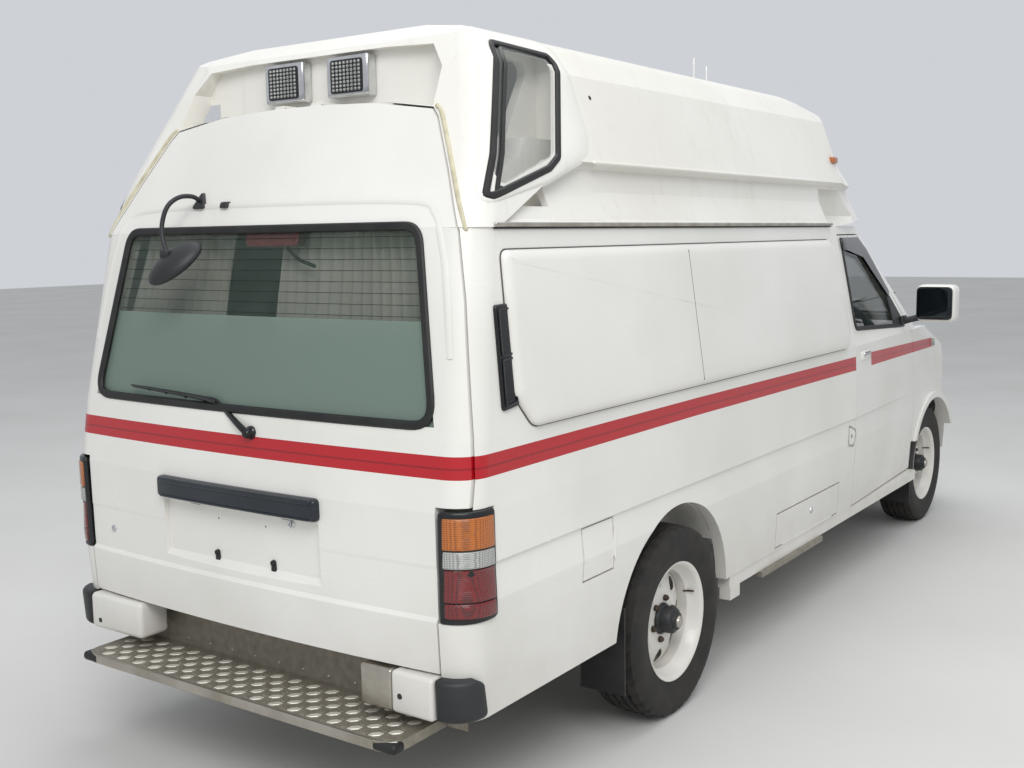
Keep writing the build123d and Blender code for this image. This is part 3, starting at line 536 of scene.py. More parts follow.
def sprayed_enamel(name, tone, banded):
    """Two-pack enamel on steel: white, glossy under a clear coat, a little chalky in slow patches, with
    road dust that thickens towards the sills and, where it is banded, the red band with its darker
    lower line."""
    material, tree, place = finish(name, Roughness=0.32, Coat_Weight=0.35, Coat_Roughness=0.08)
    x, _, z = add(tree, "SeparateXYZ", {0: place}, None)
    slow, colour = mottle(tree, place, 1.6, 4.0, (0.35, 0.65), (tone, "#dddbd4"))
    if banded:
        ahead = add(tree, "Math", {0: x, 1: AXLE_TO_MIDDLE / 1000}, operation="ADD")
        mid = {1: BAND_START, 2: BAND_PILLAR}
        far = {1: BAND_PILLAR, 2: BAND_END}
        top, foot = [add(tree, "Math", {
            0: add(tree, "MapRange", {0: ahead, **mid, 3: start, 4: bend}),
            1: add(tree, "MapRange", {0: ahead, **far, 3: 0.0, 4: fall})}, operation="ADD")
                     for start, bend, fall in (BAND_TOP, BAND_FOOT)]
        inside = add(tree, "Math", {
            0: add(tree, "Math", {0: z, 1: top}, operation="LESS_THAN"),
            1: add(tree, "Math", {0: z, 1: foot}, operation="GREATER_THAN")}, operation="MULTIPLY")
        before = add(tree, "Math", {0: ahead, 1: BAND_BREAK}, operation="LESS_THAN")
        after = add(tree, "Math", {
            0: add(tree, "Math", {0: ahead, 1: BAND_PILLAR}, operation="GREATER_THAN"),
            1: add(tree, "Math", {0: ahead, 1: BAND_END}, operation="LESS_THAN")}, operation="MULTIPLY")
        length = add(tree, "Math", {0: before, 1: after}, operation="ADD")
        mask = add(tree, "Math", {0: inside, 1: length}, operation="MULTIPLY")
        share_up = add(tree, "Math", {
            0: add(tree, "Math", {0: z, 1: foot}, operation="SUBTRACT"),
            1: add(tree, "Math", {0: top, 1: foot}, operation="SUBTRACT")}, operation="DIVIDE")
        line = add(tree, "Math", {0: share_up, 1: LINE_SHARE, 2: LINE_HALF}, operation="COMPARE")
        red = add(tree, "Mix", {0: line, 6: linear("#b00d1a"), 7: linear("#8c0a14")}, 2, data_type="RGBA")
        colour = add(tree, "Mix", {0: mask, 6: colour, 7: red}, 2, data_type="RGBA")
    low = add(tree, "MapRange", {0: z, 1: DUST_FROM, 2: DUST_FULL, 3: 0.0, 4: DUST_MOST})
    cloud = add(tree, "TexNoise", {"Vector": place, "Scale": 7.0, "Detail": 6.0})
    dust = add(tree, "Math", {0: low, 1: cloud}, operation="MULTIPLY")
    dusty = add(tree, "Mix", {0: dust, 6: colour, 7: linear("#a49c90")}, 2, data_type="RGBA")
    rough = add(tree, "Math", {
        0: add(tree, "MapRange", {0: slow, 1: 0.3, 2: 0.7, 3: 0.26, 4: 0.36}), 1: dust}, operation="ADD")
    peel = add(tree, "TexNoise", {"Vector": place, "Scale": 240.0, "Detail": 1.0})
    bump = add(tree, "Bump", {"Height": peel, "Distance": 0.00004})
    return drive(material, Base_Color=dusty, Roughness=rough, Normal=bump)


def gel_coat():
    """Hand-laid glass-reinforced polyester: warm white gel coat with slow print-through waves of the mat,
    a faint yellowing in patches and thin grey runs where water comes off the gutters."""
    material, tree, place = finish("gel_coat", Roughness=0.34, Coat_Weight=0.2, Coat_Roughness=0.15)
    _, colour = mottle(tree, place, 1.3, 5.0, (0.35, 0.68), ("#e9e7e1", "#dfdcd2"))
    runs = add(tree, "Mapping", {"Vector": place, "Scale": (22.0, 22.0, 1.2)})
    streak = add(tree, "TexNoise", {"Vector": runs, "Scale": 1.0, "Detail": 3.0})
    faint = add(tree, "MapRange", {0: streak, 1: 0.58, 2: 0.8, 3: 0.0, 4: 0.22})
    colour = add(tree, "Mix", {0: faint, 6: colour, 7: linear("#b9b4a8")}, 2, data_type="RGBA")
    wave = add(tree, "TexNoise", {"Vector": place, "Scale": 28.0, "Detail": 2.0})
    return drive(material, Base_Color=colour,
                 Normal=add(tree, "Bump", {"Height": wave, "Distance": 0.0004}))


def tinted_glass(name, tone, alpha, film=None):
    """Float glass with a green tint: mirror smooth, with a thin film of dust; the share of light that
    it stops is its alpha. A film is the height in metres below which the pane is frosted."""
    material, tree, place = finish(name, Roughness=0.03, Alpha=alpha, IOR=1.5)
    dust, colour = mottle(tree, place, 9.0, 6.0, (0.4, 0.8), (tone, "#8f9a92"), 0.18)
    rough = add(tree, "MapRange", {0: dust, 1: 0.4, 2: 0.8, 3: 0.02, 4: 0.07})
    if film:
        z = add(tree, "SeparateXYZ", {0: place}, None)[2]
        frosted = add(tree, "Math", {0: z, 1: film}, operation="LESS_THAN")
        colour = add(tree, "Mix", {0: frosted, 6: colour, 7: linear("#75877c")}, 2, data_type="RGBA")
        rough = add(tree, "Mix", {0: frosted, 2: rough, 3: 0.35})
        drive(material, Alpha=add(tree, "MapRange", {0: frosted, 3: alpha, 4: 0.78}))
    return drive(material, Base_Color=colour, Roughness=rough)


def moulded_lens(name, tone, deep, pitch):
    """Injection-moulded acrylic lens: glossy outside, with rows of small prisms behind it at the given
    pitch."""
    material, tree, place = finish(name, Roughness=0.14, Coat_Weight=0.8, Coat_Roughness=0.03, IOR=1.49)
    x, y, z = add(tree, "SeparateXYZ", {0: place}, None)
    sideways = add(tree, "Math", {0: x, 1: y}, operation="ADD")
    prisms = []
    for v in (sideways, z):
        turns = add(tree, "Math", {0: v, 1: math.pi / pitch}, operation="MULTIPLY")
        wave = add(tree, "Math", {0: turns}, operation="SINE")
        prisms.append(add(tree, "Math", {0: wave}, operation="ABSOLUTE"))
    height = add(tree, "Math", dict(enumerate(prisms)), operation="ADD")
    share = add(tree, "MapRange", {0: height, 1: 0.4, 2: 1.8})
    colour = add(tree, "Mix", {0: share, 6: linear(deep), 7: linear(tone)}, 2, data_type="RGBA")
    return drive(material, Base_Color=colour,
                 Normal=add(tree, "Bump", {"Height": height, "Distance": 0.0008}))


def woven(name, tone, thread, pitch):
    """Woven cloth: two crossed sets of threads at the given pitch in metres, drawn by sine waves that
    lift in turn, with a soft sheen."""
    material, tree, place = finish(name, Roughness=0.9, Sheen_Weight=0.3)
    x, y, z = add(tree, "SeparateXYZ", {0: place}, None)
    level = add(tree, "Math", {0: x, 1: y}, operation="ADD")
    waves = []
    for v in (level, z):
        turns = add(tree, "Math", {0: v, 1: 2 * math.pi / pitch}, operation="MULTIPLY")
        waves.append(add(tree, "Math", {0: turns}, operation="SINE"))
    weave = add(tree, "Math", dict(enumerate(waves)), operation="MULTIPLY")
    slow = add(tree, "TexNoise", {"Vector": place, "Scale": 12.0, "Detail": 4.0})
    mixed = add(tree, "Math", {0: add(tree, "MapRange", {0: weave, 1: -1.0, 2: 1.0, 3: 0.0, 4: 0.6}),
                               1: add(tree, "MapRange", {0: slow, 3: 0.0, 4: 0.5})}, operation="ADD")
    colour = add(tree, "Mix", {0: mixed, 6: linear(thread), 7: linear(tone)}, 2, data_type="RGBA")
    return drive(material, Base_Color=colour,
                 Normal=add(tree, "Bump", {"Height": weave, "Distance": 0.0005}))


def brushed_steel(name, tone, worn, along):
    """Cold-rolled stainless sheet with a brushed grain: noise drawn out long along one direction."""
    material, tree, place = finish(name, Metallic=1.0, Roughness=0.34)
    drawn = add(tree, "Mapping",
                {"Vector": place, "Scale": tuple(6.0 if axis == along else 900.0 for axis in "xyz")})
    grain = add(tree, "TexNoise", {"Vector": drawn, "Scale": 1.0, "Detail": 3.0})
    _, colour = mottle(tree, place, 9.0, 5.0, (0.4, 0.75), (tone, worn))
    rough = add(tree, "MapRange", {0: grain, 1: 0.3, 2: 0.7, 3: 0.24, 4: 0.46})
    bump = add(tree, "Bump", {"Height": grain, "Distance": 0.00005})
    return drive(material, Base_Color=colour, Roughness=rough, Normal=bump)


# Enamel of the pressed steel body, with the band, and plain on wheels, mirrors and small panels
enamel = sprayed_enamel("white_enamel_banded", "#e6e4de", True)
enamel_plain = sprayed_enamel("white_enamel", "#e6e4de", False)
gel = gel_coat()
# Tyre rubber: carbon black compound, dull, browned by dust in the tread
tyre_rubber = weathered("tyre_rubber", "#1d1c1b", "#34302b", 0.06, 0.002, 0.00015, Roughness=0.82)
# Extruded rubber seals: matt black, greyer where they have perished
seal_rubber = weathered("seal_rubber", "#131313", "#232322", 0.08, 0.0015, 0.00005, Roughness=0.55)
# Injection-moulded black polypropylene with a fine eroded grain
black_plastic = weathered("grained_polypropylene", "#1b1c1e", "#2b2c2e", 0.15, 0.0012, 0.00012,
                          Roughness=0.5)
# Smooth moulded ABS, black and grey
gloss_black = weathered("black_abs", "#0f1012", "#191a1c", 0.2, 0.004, 0.00002, Roughness=0.22)
grey_plastic = weathered("grey_abs", "#4b4a47", "#5a5853", 0.2, 0.0015, 0.0001, Roughness=0.55)
# Chassis black: waxy brushed paint over hot-rolled steel, dusty and rust-freckled
chassis_paint = weathered("chassis_black_paint", "#191817", "#3a322a", 0.05, 0.003, 0.0002, Roughness=0.7)
# Cast iron and forged steel, with a dark brown bloom
cast_iron = weathered("cast_iron", "#3a3430", "#5a4a3c", 0.04, 0.003, 0.0003, Roughness=0.75, Metallic=0.4)
# Aluminised steel exhaust, heat-stained
exhaust_steel = weathered("aluminised_steel", "#8a867e", "#6b5f50", 0.07, 0.004, 0.0001, Roughness=0.5,
                          Metallic=0.8)
# Bright chromium plate: nearly white mirror with faint pits
chrome = weathered("chromium_plate", "#d9dadb", "#c3c4c6", 0.05, 0.0015, 0.00002, Roughness=0.12,
                   Metallic=1.0)
stainless = brushed_steel("brushed_stainless", "#b9b4aa", "#9d968a", "y")
aluminium = weathered("rolled_aluminium", "#c4c0b8", "#a8a298", 0.05, 0.0025, 0.00008, Roughness=0.36,
                      Metallic=1.0)
# Rolled aluminium plate, darker: painted shade on the plate between the raised bars and on the bars of one
# direction, with trodden-in dirt between them
plate_painted_shade = weathered("aluminium_painted_shade", "#938d80", "#827c70", 0.03, 0.0025, 0.0001, Roughness=0.5,
                         Metallic=0.35)
# The same plate lighter: painted highlight on the raised bars of one direction, standing for their glint
plate_painted_highlight = weathered("aluminium_painted_highlight", "#e6e2d6", "#d2cdbf", 0.03, 0.0025, 0.0001, Roughness=0.35,
                         Metallic=0.3)
tail_glass = tinted_glass("tinted_tail_glass", "#35493f", 0.32, 1.498)
cab_glass = tinted_glass("tinted_cab_glass", "#27332e", 0.34)
beacon_glass = tinted_glass("clear_polycarbonate", "#c9cfcd", 0.10)
amber_lens = moulded_lens("amber_acrylic", "#c06a12", "#7c3a08", 0.006)
red_lens = moulded_lens("red_acrylic", "#7c0c10", "#3d0508", 0.006)
clear_lens = moulded_lens("clear_acrylic", "#b9bab6", "#6d6d6a", 0.005)
head_lens = moulded_lens("headlamp_glass", "#d7dad9", "#9fa3a3", 0.010)
seat_cloth = woven("seat_moquette", "#55585e", "#34363b", 0.004)
curtain_cloth = woven("curtain_polyester", "#f1efe4", "#d8d5c8", 0.003)
garnish_abs = weathered("dark_moulded_abs", "#1b2229", "#262d34", 0.2, 0.003, 0.00002, Roughness=0.3)
sealant = weathered("cream_sealant", "#cfc9ae", "#b7b094", 0.04, 0.004, 0.0002, Roughness=0.6)
mirror_glass = weathered("silvered_glass", "#3c4247", "#2e3337", 0.15, 0.004, 0.00001, Roughness=0.06,
                         Metallic=0.9)
lamp_black = weathered("reflector_housing", "#101113", "#18191b", 0.1, 0.003, 0.00002, Roughness=0.3)


# The tail: window, wiper, mirror, garnish and locks, all riding on the tailgate
TAIL_ROWS = np.concatenate([BODY_ROWS, LOAD_ROWS[1:], COLUMN_ROWS[1:]])
tail = on_tail(TAIL_ROWS)
SEAL_SECTION = [(-13, -4), (-13, 3), (-9, 7.5), (0, 9), (9, 7.5), (13, 3), (13, -4)]
BEAD_SECTION = [(-14, -1.5), (-9, 1.0), (0, 2.4), (9, 1.0), (14, -1.5)]


def rim(outline, place, section, height=0.0, closed=True):
    """Section carried along an outline that lies on a surface, standing along the surface's own normal."""
    foot = place(outline[:, 0], outline[:, 1], height)
    return strip(foot, place(outline[:, 0], outline[:, 1], height + 1.0) - foot, section, closed)


def ruled(place, u0, u1, v0, v1, height, radius, count=12):
    """Round bar lying on a surface from one pair of coordinates to another."""
    t = np.linspace(0, 1, count)
    return tube(place(u0 + (u1 - u0) * t, v0 + (v1 - v0) * t, height), radius, (1.0, 0.1, 0.2), 6)


def knob(place, u, v, profile, sides=24):
    """Turned part standing on a surface: its profile of radius and height about the surface's normal."""
    foot = place(u, v, 0.0)
    return lathe(profile, foot, place(u, v, 1.0) - foot, sides, (0.0, 0.3, 1.0))


window_line = inset(rounded([(-752, 1204), (752, 1204), (640, 1775), (-640, 1775)], 75, 50, 9), 12.5)
piece("tail_window_seal", rim(window_line, tail, SEAL_SECTION), seal_rubber, "tailgate", "black_rubber")
swage = smooth_path([(-768, 1400), (-743, 1560), (-712, 1700), (-668, 1790), (-560, 1826), (0, 1834),
                     (560, 1826), (668, 1790), (712, 1700), (743, 1560), (768, 1400)], 90)
piece("tail_window_swage", rim(swage, tail, BEAD_SECTION, 0.0, False), enamel_plain, "tailgate",
      "white_paint")


def window_half(z):
    """Half width of the tail window's clear glass at a height."""
    return np.interp(z, [1215, 1755], [720, 605])


HEATER_LOW, HEATER_HIGH, HEATER_PITCH = 1510, 1735, 32
heater = [ruled(tail, -float(window_half(z)), float(window_half(z)), z, z, -9.2, 0.9, 24)
          for z in np.arange(HEATER_LOW, HEATER_HIGH, HEATER_PITCH)]
piece("window_heater_lines", heater, seal_rubber, "tailgate", "black_plastic")


CURTAIN_TOP, CURTAIN_FOOT = 1772, 1190
CURTAIN_DEPTH, FOLD_DEPTH = -80, 15
CLOTH_THICKNESS = 0.0008
# half width and height of the two curtain rails
RAILS = ((632, 1778), (742, 1186))


def curtain(name, side, inner, folds):
    """Gathered curtain behind the tail window: a grid whose depth swings as a sine across its width,
    each fold a little wider or narrower than the last, and drifts as it falls."""
    across = np.linspace(0, 1, folds * 8 + 1)[None, :]
    down = np.linspace(0, 1, 25)[:, None]
    z = CURTAIN_TOP + (CURTAIN_FOOT - CURTAIN_TOP) * down
    outer = np.interp(z, [CURTAIN_FOOT, CURTAIN_TOP], [738, 628])
    u = inner[0] + (inner[1] - inner[0]) * down + (outer - inner[0] - (inner[1] - inner[0]) * down) * across
    swing = across + 0.02 * np.sin(9.4 * across) + 0.006 * np.sin(5.0 * down + 11 * across)
    fullness = 1 - 0.25 * np.sin(3.1 * across + 2 * down)
    depth = CURTAIN_DEPTH + FOLD_DEPTH * np.sin(2 * math.pi * folds * swing) * fullness
    points = tail(side * u, z, depth)
    quads = lattice(*points.shape[:2])
    made = piece(name, (points.reshape(-1, 3), [quads if side > 0 else quads[:, ::-1]]), curtain_cloth,
                 "tailgate", "seat_fabric", 80)
    cloth = made.modifiers.new("cloth_thickness", "SOLIDIFY")
    cloth.thickness = CLOTH_THICKNESS
    cloth.offset = 0.0


curtain("curtain_left", 1.0, (160, 196), 13)
curtain("curtain_right", -1.0, (62, 40), 15)
rails = [ruled(tail, -half, half, z, z, CURTAIN_DEPTH, 5, 16) for half, z in RAILS]
rails += [tube([tail(s * half, z, depth) for depth in (-80, -60, -40)], 7) for half, z in RAILS
          for s in (-1, 1)]
piece("curtain_rails", rails, grey_plastic, "tailgate", "grey_plastic")

piece("high_mount_lamp",
      pad(rounded([(-171, 1708), (49, 1708), (55, 1770), (-177, 1770)], 18), tail, -13, 5, -50),
      red_lens, "tailgate", "lamp_lens")
stay = [tail(-702, 1606, -24), tail(-712, 1560, -24), tail(-722, 1500, -24)]
hose = smooth_path([tail(-66, 1752, -30), tail(-96, 1716, -40), tail(-150, 1672, -44),
                    tail(-225, 1650, -40)], 18)
piece("inner_stay_and_washer_hose", [tube(stay, 8), tube(hose, 6)], seal_rubber, "tailgate", "black_rubber")

# Wiper: pivot cap, tapering arm, and the blade with its rubber
pivot, elbow = np.array((-1262.0, -63, 1151)), np.array((-1242.0, 118, 1238))
arm = smooth_path([pivot + (-14, 0, 0), pivot + (-12, 40, 22), elbow + (-8, -50, -24), elbow + (-6, -6, 0),
                   elbow + (-4, 60, 3)], 26)
arm_radius = np.interp(np.linspace(0, 1, 26), [0, 0.3, 0.5, 1], [11, 10, 7, 5.5])
BLADE_ENDS = [96, 520]
BLADE_LINE = ((96, 1237), (150, 1244), (300, 1252), (430, 1257), (520, 1260))
WIPING_LINE = ((96, 1229), (150, 1236), (300, 1245), (430, 1251), (520, 1255))
blade = np.array([tail(y, z, 16) for y, z in BLADE_LINE])
blade_radius = np.interp(np.linspace(0, 1, 20), [0, 0.25, 1], [5.5, 6, 3])
rubber = np.array([tail(y, z, 8) for y, z in WIPING_LINE])
wiper = [knob(tail, -63, 1151, [(0, -6), (21, -6), (21, 4), (17, 8), (15, 22), (11, 27), (0, 28)]),
         tube(arm, arm_radius, (1, 0, 0), 10),
         tube(smooth_path(blade, 20), blade_radius, (1, 0, 0), 8),
         tube(smooth_path(rubber, 20), 3.2, (1, 0, 0), 6)]
for y in (150, 240, 340, 430):
    wiper.append(tube([tail(y, np.interp(y, BLADE_ENDS, heights), h)
                       for heights, h in (([1237, 1260], 16), ([1233, 1258], 12), ([1229, 1255], 8))],
                      3.5, (0, 1, 0.2), 6))
piece("tail_wiper", wiper, gloss_black, "tailgate", "black_plastic", replaces=("rear_wiper",))

# Reversing mirror on its bent tube: foot, clamp and the domed oval housing with its glass
mirror_way = smooth_path([(-1108, 296, 1858), (-1140, 300, 1872), (-1185, 310, 1868), (-1222, 322, 1838),
                          (-1240, 329, 1782), (-1247, 318, 1730), (-1254, 292, 1688)], 30)
mirror_axis = np.array((0.528, -0.625, 0.580))
mirror_axis = mirror_axis / np.linalg.norm(mirror_axis)
mirror_back = np.array((-0.731, 0.015, 0.682))
mirror_back = mirror_back - mirror_axis * np.dot(mirror_back, mirror_axis)
mirror_back = mirror_back / np.linalg.norm(mirror_back)
mirror_wide = np.cross(mirror_back, mirror_axis)
turn = np.stack([mirror_axis, mirror_wide, mirror_back], 1)
MIRROR_OVAL = (1.06, 0.69, 1.0)
mirror_at = np.array((-1250, 268, 1665))
dome = lathe([(0, 27), (22, 26.4), (44, 23.5), (68, 17), (86, 8), (94, 0), (96, -7), (93, -12), (88, -13),
              (0, -13)], (0, 0, 0), (0, 0, 1), 40, (1, 0, 0))
dome = (dome[0] * MIRROR_OVAL, dome[1])
dome = tidy(*moved(dome, turn, mirror_at))
foot = pad(rounded([(262, 1832), (330, 1832), (300, 1892)], 10, 20), tail, 12, 5, -1)
clamp = block((-1272, 276, 1676), (-1238, 312, 1704), 7)
piece("reversing_mirror", [tube(mirror_way, 7.5, (0, 1, 0), 12), dome, foot, clamp], black_plastic,
      "tailgate", "black_plastic", replaces=("rear_view_mirror",))
glass = lathe([(0, 0), (84, 0), (84, -1.5), (0, -1.5)], (0, 0, 0), (0, 0, 1), 40, (1, 0, 0))
glass = (glass[0] * MIRROR_OVAL, glass[1])
piece("reversing_mirror_glass", tidy(*moved(glass, turn, mirror_at - mirror_back * 13.2)),
      chrome, "tailgate", "clear_plastic")
piece("washer_nozzle",
      pad(rounded([(154, 1832), (188, 1832), (190, 1852), (152, 1852)], 6, 20), tail, 14, 6),
      black_plastic, "tailgate", "black_plastic")

# Number-plate garnish with its grip lip, two plate lamps, rubber stops and the lock
garnish = [pad(rounded(oblong(-352, 914, 352, 983), 16, 30), tail, 24, 12, -1),
           pad(rounded([(-338, 964), (338, 964), (340, 981), (-340, 981)], 6, 30), tail, 29, 6, 10),
           pad(rounded(oblong(-330, 917, 330, 924), 3, 30), tail, 28, 4, 10)]
piece("plate_garnish", garnish, garnish_abs, "tailgate", "black_plastic", replaces=("tailgate_handle",))
piece("plate_lamps", [block((-1272, y - 24, 900), (-1238, y + 24, 915), 5) for y in (200, -205)],
      gloss_black, "tailgate", "black_plastic")
STOP = [(0, 0), (9, 0), (10, 3), (8, 10), (5, 12), (0, 12)]
plate_face = rearward(-1258.0)
stops = [knob(plate_face, -y, z, STOP, 16) for y, z in ((113, 754), (-137, 756))]
STOP_FOOT = np.array([(-11, -17), (11, -17), (9, 15), (-9, 15)])
stops += [pad(rounded(STOP_FOOT + (-y, z), 4, 20), plate_face, 5, 2, -1)
          for y, z in ((113, 742), (-137, 744))]
piece("plate_stops", stops, seal_rubber, "tailgate", "black_rubber")
LOCK = [(0, 3), (7, 3), (8, 5), (11, 6), (13, 4), (14, 0), (14, -6), (0, -6)]
piece("tailgate_lock",
      [knob(plate_face, 219, 888, LOCK, 28), block((-1266, -221, 882), (-1262, -217, 894), 1)],
      chrome, "tailgate", "chequer_plate")
piece("tailgate_seam_fastener", knob(tail, 640, 760, [(0, 4), (9, 4), (12, 2), (13, -2), (0, -2)], 24),
      chrome, "tailgate", "chequer_plate")

# Tail lamps wrapped round the corner: black frame and four lens bands
LAMP_FRAME = [(770, 680), (950, 680), (948, 994), (774, 994)]
LENSES = [
    # bottom, top, finish, name
    (694, 738, red_lens, "stop_lens"),
    (741, 832, red_lens, "tail_lens"),
    (836, 884, clear_lens, "reversing_lens"),
    (888, 976, amber_lens, "indicator_lens"),
]
for side, hand in SIDES:
    corner = round_corner(BODY_ROWS, side)
    frame_pad = pad(rounded(LAMP_FRAME, 16, 12), corner, 10, 7, -4)
    piece("tail_lamp_frame_" + hand, frame_pad, lamp_black, "body", "black_plastic",
          replaces=("tail_lamps",) if hand == "right" else ())
    for low, high, lens, name in LENSES:
        outline = rounded([(788, low), (938, low), (936, high), (790, high)], 5, 9)
        piece(name + "_" + hand, pad(outline, corner, 14, 4, 4), lens, "body", "lamp_lens")

# Rear bumper: end caps, the boxes over the step and their screws
CAP_ROWS = np.array([
    (398.0, -1276.0, 6.0, 868.0, 866.0, 780.0, 3860.0),
    (524.0, -1282.0, 6.0, 874.0, 872.0, 780.0, 3860.0),
])
caps = []
for side in (-1.0, 1.0):
    place = round_corner(CAP_ROWS, side)
    caps.append(pad(rounded([(764, 400), (948, 400), (935, 506), (900, 523), (764, 523)],
                            (8, 22, 20, 20, 8), 10), place, 0, 16, -48, 4))
boxes = [block((-1283, -762, 399), (-1165, -611, 523), 13), block((-1283, 492, 399), (-1165, 762, 523), 16)]
piece("bumper_ends", caps, black_plastic, "body", "black_plastic", replaces=("rear_bumper",))
piece("bumper_end_boxes", boxes, enamel_plain, "body", "white_paint", replaces=("bumper_boxes",))
piece("bumper_steel_box", block((-1281, -611, 400), (-1165, -494, 521), 9), stainless, "body",
      "exhaust_steel")
back = rearward(-1283)
above = on_plane((0, 0, 523.0), (0, -1, 0), (1, 0, 0))
SCREW = [(0, 2.5), (5, 2.5), (8, 1.5), (9, 0), (9, -1), (0, -1)]
screws = [knob(back, -711, 431, SCREW, 16), knob(back, 645, 452, SCREW, 16),
          knob(above, -640, -1240, SCREW, 16), knob(above, 640, -1240, SCREW, 16)]
piece("bumper_screws", screws, black_plastic, "body", "black_plastic")

# Step: lozenge bars in two crossed directions on the tread, steel nosing and rubber ends
step_low = np.array(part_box("rear_step")[0]) * 1000 + (AXLE_TO_MIDDLE, 0, 0)
STEP_Z, TREAD_BACK = 350.0, step_low[0] + 12
BAR_PITCH, BAR_LONG, BAR_WIDE, BAR_HIGH = 40.0, 23.0, 12.0, 2.2


def tread_bars(hand):
    """The raised lens-shaped bars of one direction on a square grid: six points round a flat foot and
    six on top. The bars of the other direction stand between them, turned a quarter."""
    i, j = np.meshgrid(np.arange(-16, 17), np.arange(5), indexing="ij")
    chosen = ((i + j) % 2 == 0) == (hand > 0)
    i, j = i[chosen], j[chosen]
    y = i * BAR_PITCH
    x = TREAD_BACK + BAR_PITCH / 2 + j * BAR_PITCH
    turn = np.full(len(i), hand * math.pi / 4)
    base = np.array([(-1, 0), (-0.5, -1), (0.5, -1), (1, 0), (0.5, 1), (-0.5, 1)])
    foot = base * (BAR_LONG, BAR_WIDE)
    top = base * (BAR_LONG * 0.88, BAR_WIDE * 0.8)
    local = np.concatenate([foot, top])
    height = np.repeat([-0.4, BAR_HIGH], 6)
    c, s = np.cos(turn)[:, None], np.sin(turn)[:, None]
    px = x[:, None] + local[:, 0] * c - local[:, 1] * s
    py = y[:, None] + local[:, 0] * s + local[:, 1] * c
    points = np.stack([px, py, np.broadcast_to(STEP_Z + height, px.shape)], -1)
    ring = np.arange(6)
    around = np.stack([ring, (ring + 1) % 6, (ring + 1) % 6 + 6, ring + 6], -1)
    count = len(i)
    offset = (np.arange(count) * 12)[:, None, None]
    caps = np.stack([ring + 6, ring[::-1]])
    return points.reshape(-1, 3), [(around[None] + offset).reshape(-1, 4),
                                   (caps[None] + offset).reshape(-1, 6)]


# Lit and shaded copies of one aluminium on the two crossed directions of bars: painted highlight on one,
# painted shade on the other
piece("tread_bars_painted_highlight", tread_bars(-1.0), plate_painted_highlight, "body", "chequer_plate", 20, weld=False)
piece("tread_bars_painted_shade", tread_bars(1.0), plate_painted_shade, "body", "chequer_plate", 20, weld=False)
NOSE_PLAN = [(-1330, -693), (-1352, -668), (-1366, -620), (-1369, -500), (-1369, 500), (-1366, 620),
             (-1352, 668), (-1330, 693)]
nose_line = smooth_path([(x, y, STEP_Z - 14) for x, y in NOSE_PLAN], 60)
NOSING = [(-15, -3), (-15, 1), (-12, 4), (12, 4), (15, 1), (15, -3)]
out_of_step = nose_line - (-1250.0, 0.0, STEP_Z - 14)
out_of_step[:, 2] = 0.0
out_of_step[:, 1] *= 0.15
piece("step_nosing", strip(nose_line[4:-4], out_of_step[4:-4], NOSING, False), stainless, "body",
      "exhaust_steel")
ends = [block((-1372, s * 655 - 42, STEP_Z - 31), (-1322, s * 655 + 42, STEP_Z - 1), 12) for s in (-1, 1)]
piece("step_rubber_ends", ends, seal_rubber, "body", "black_rubber")
rivets = rearward(-1128.4)
piece("riser_rivets", [knob(rivets, u, v, [(0, 2), (3, 1.6), (5, 0), (0, -0.5)], 12)
                       for u in np.arange(-440, 441, 110) for v in (372, 500)], aluminium, "body",
      "chequer_plate")

# High roof: skin at the rear corners, the beacon windows' double rubbers, coves, rails and mouldings
ROOF_EDGE_Z = 2330.0


def roof_side(z):
    """The roof's half width under its raked sides: a straight line that turns to the crown on an arc."""
    line = 1000.0 - (z - ROOF_EDGE_Z + 492.0) * 410.0 / 512.0
    bend = ROOF_EDGE_Z - 16.0
    past = np.clip(z - bend, 0.0, 60.0)
    return line - past ** 2 * 0.016


def roof_corner(side):
    """Placing on the column beside the tail: u is x, v is z, and h runs along the surface's own normal."""
    def base(x, z):
        y = np.minimum(flank(x, z, COLUMN_ROWS), roof_side(z))
        return np.stack([x, side * y, z], -1)

    def place(u, v, h):
        u, v, h = spread(u, v, h)
        point = base(u, v)
        normal = np.cross(base(u + 0.5, v) - base(u - 0.5, v), base(u, v + 0.5) - base(u, v - 0.5)) * -side
        normal = normal / np.linalg.norm(normal, axis=-1, keepdims=True)
        return point + normal * h[..., None]
    return place


def by_angle(outline, centre, angles):
    """Points of a star-shaped outline in the given directions from its centre."""
    arm = np.asarray(outline) - centre
    turn = np.arctan2(arm[:, 1], arm[:, 0])
    order = np.argsort(turn)
    reach = np.interp(angles, turn[order], np.linalg.norm(arm, axis=1)[order], period=2 * math.pi)
    return np.asarray(centre) + reach[:, None] * np.stack([np.cos(angles), np.sin(angles)], -1)


def surround(outer, hole, centre, place, rings):
    """Skin between a hole and an outer outline: rings give the share of the way out and the height
    there."""
    angles = np.linspace(-math.pi, math.pi, 180, endpoint=False)
    near, far = by_angle(hole, centre, angles), by_angle(outer, centre, angles)
    stack = [place(*(near + (far - near) * share).T, height) for share, height in rings]
    return np.concatenate(stack), [lattice(len(rings), len(angles), True, True)]


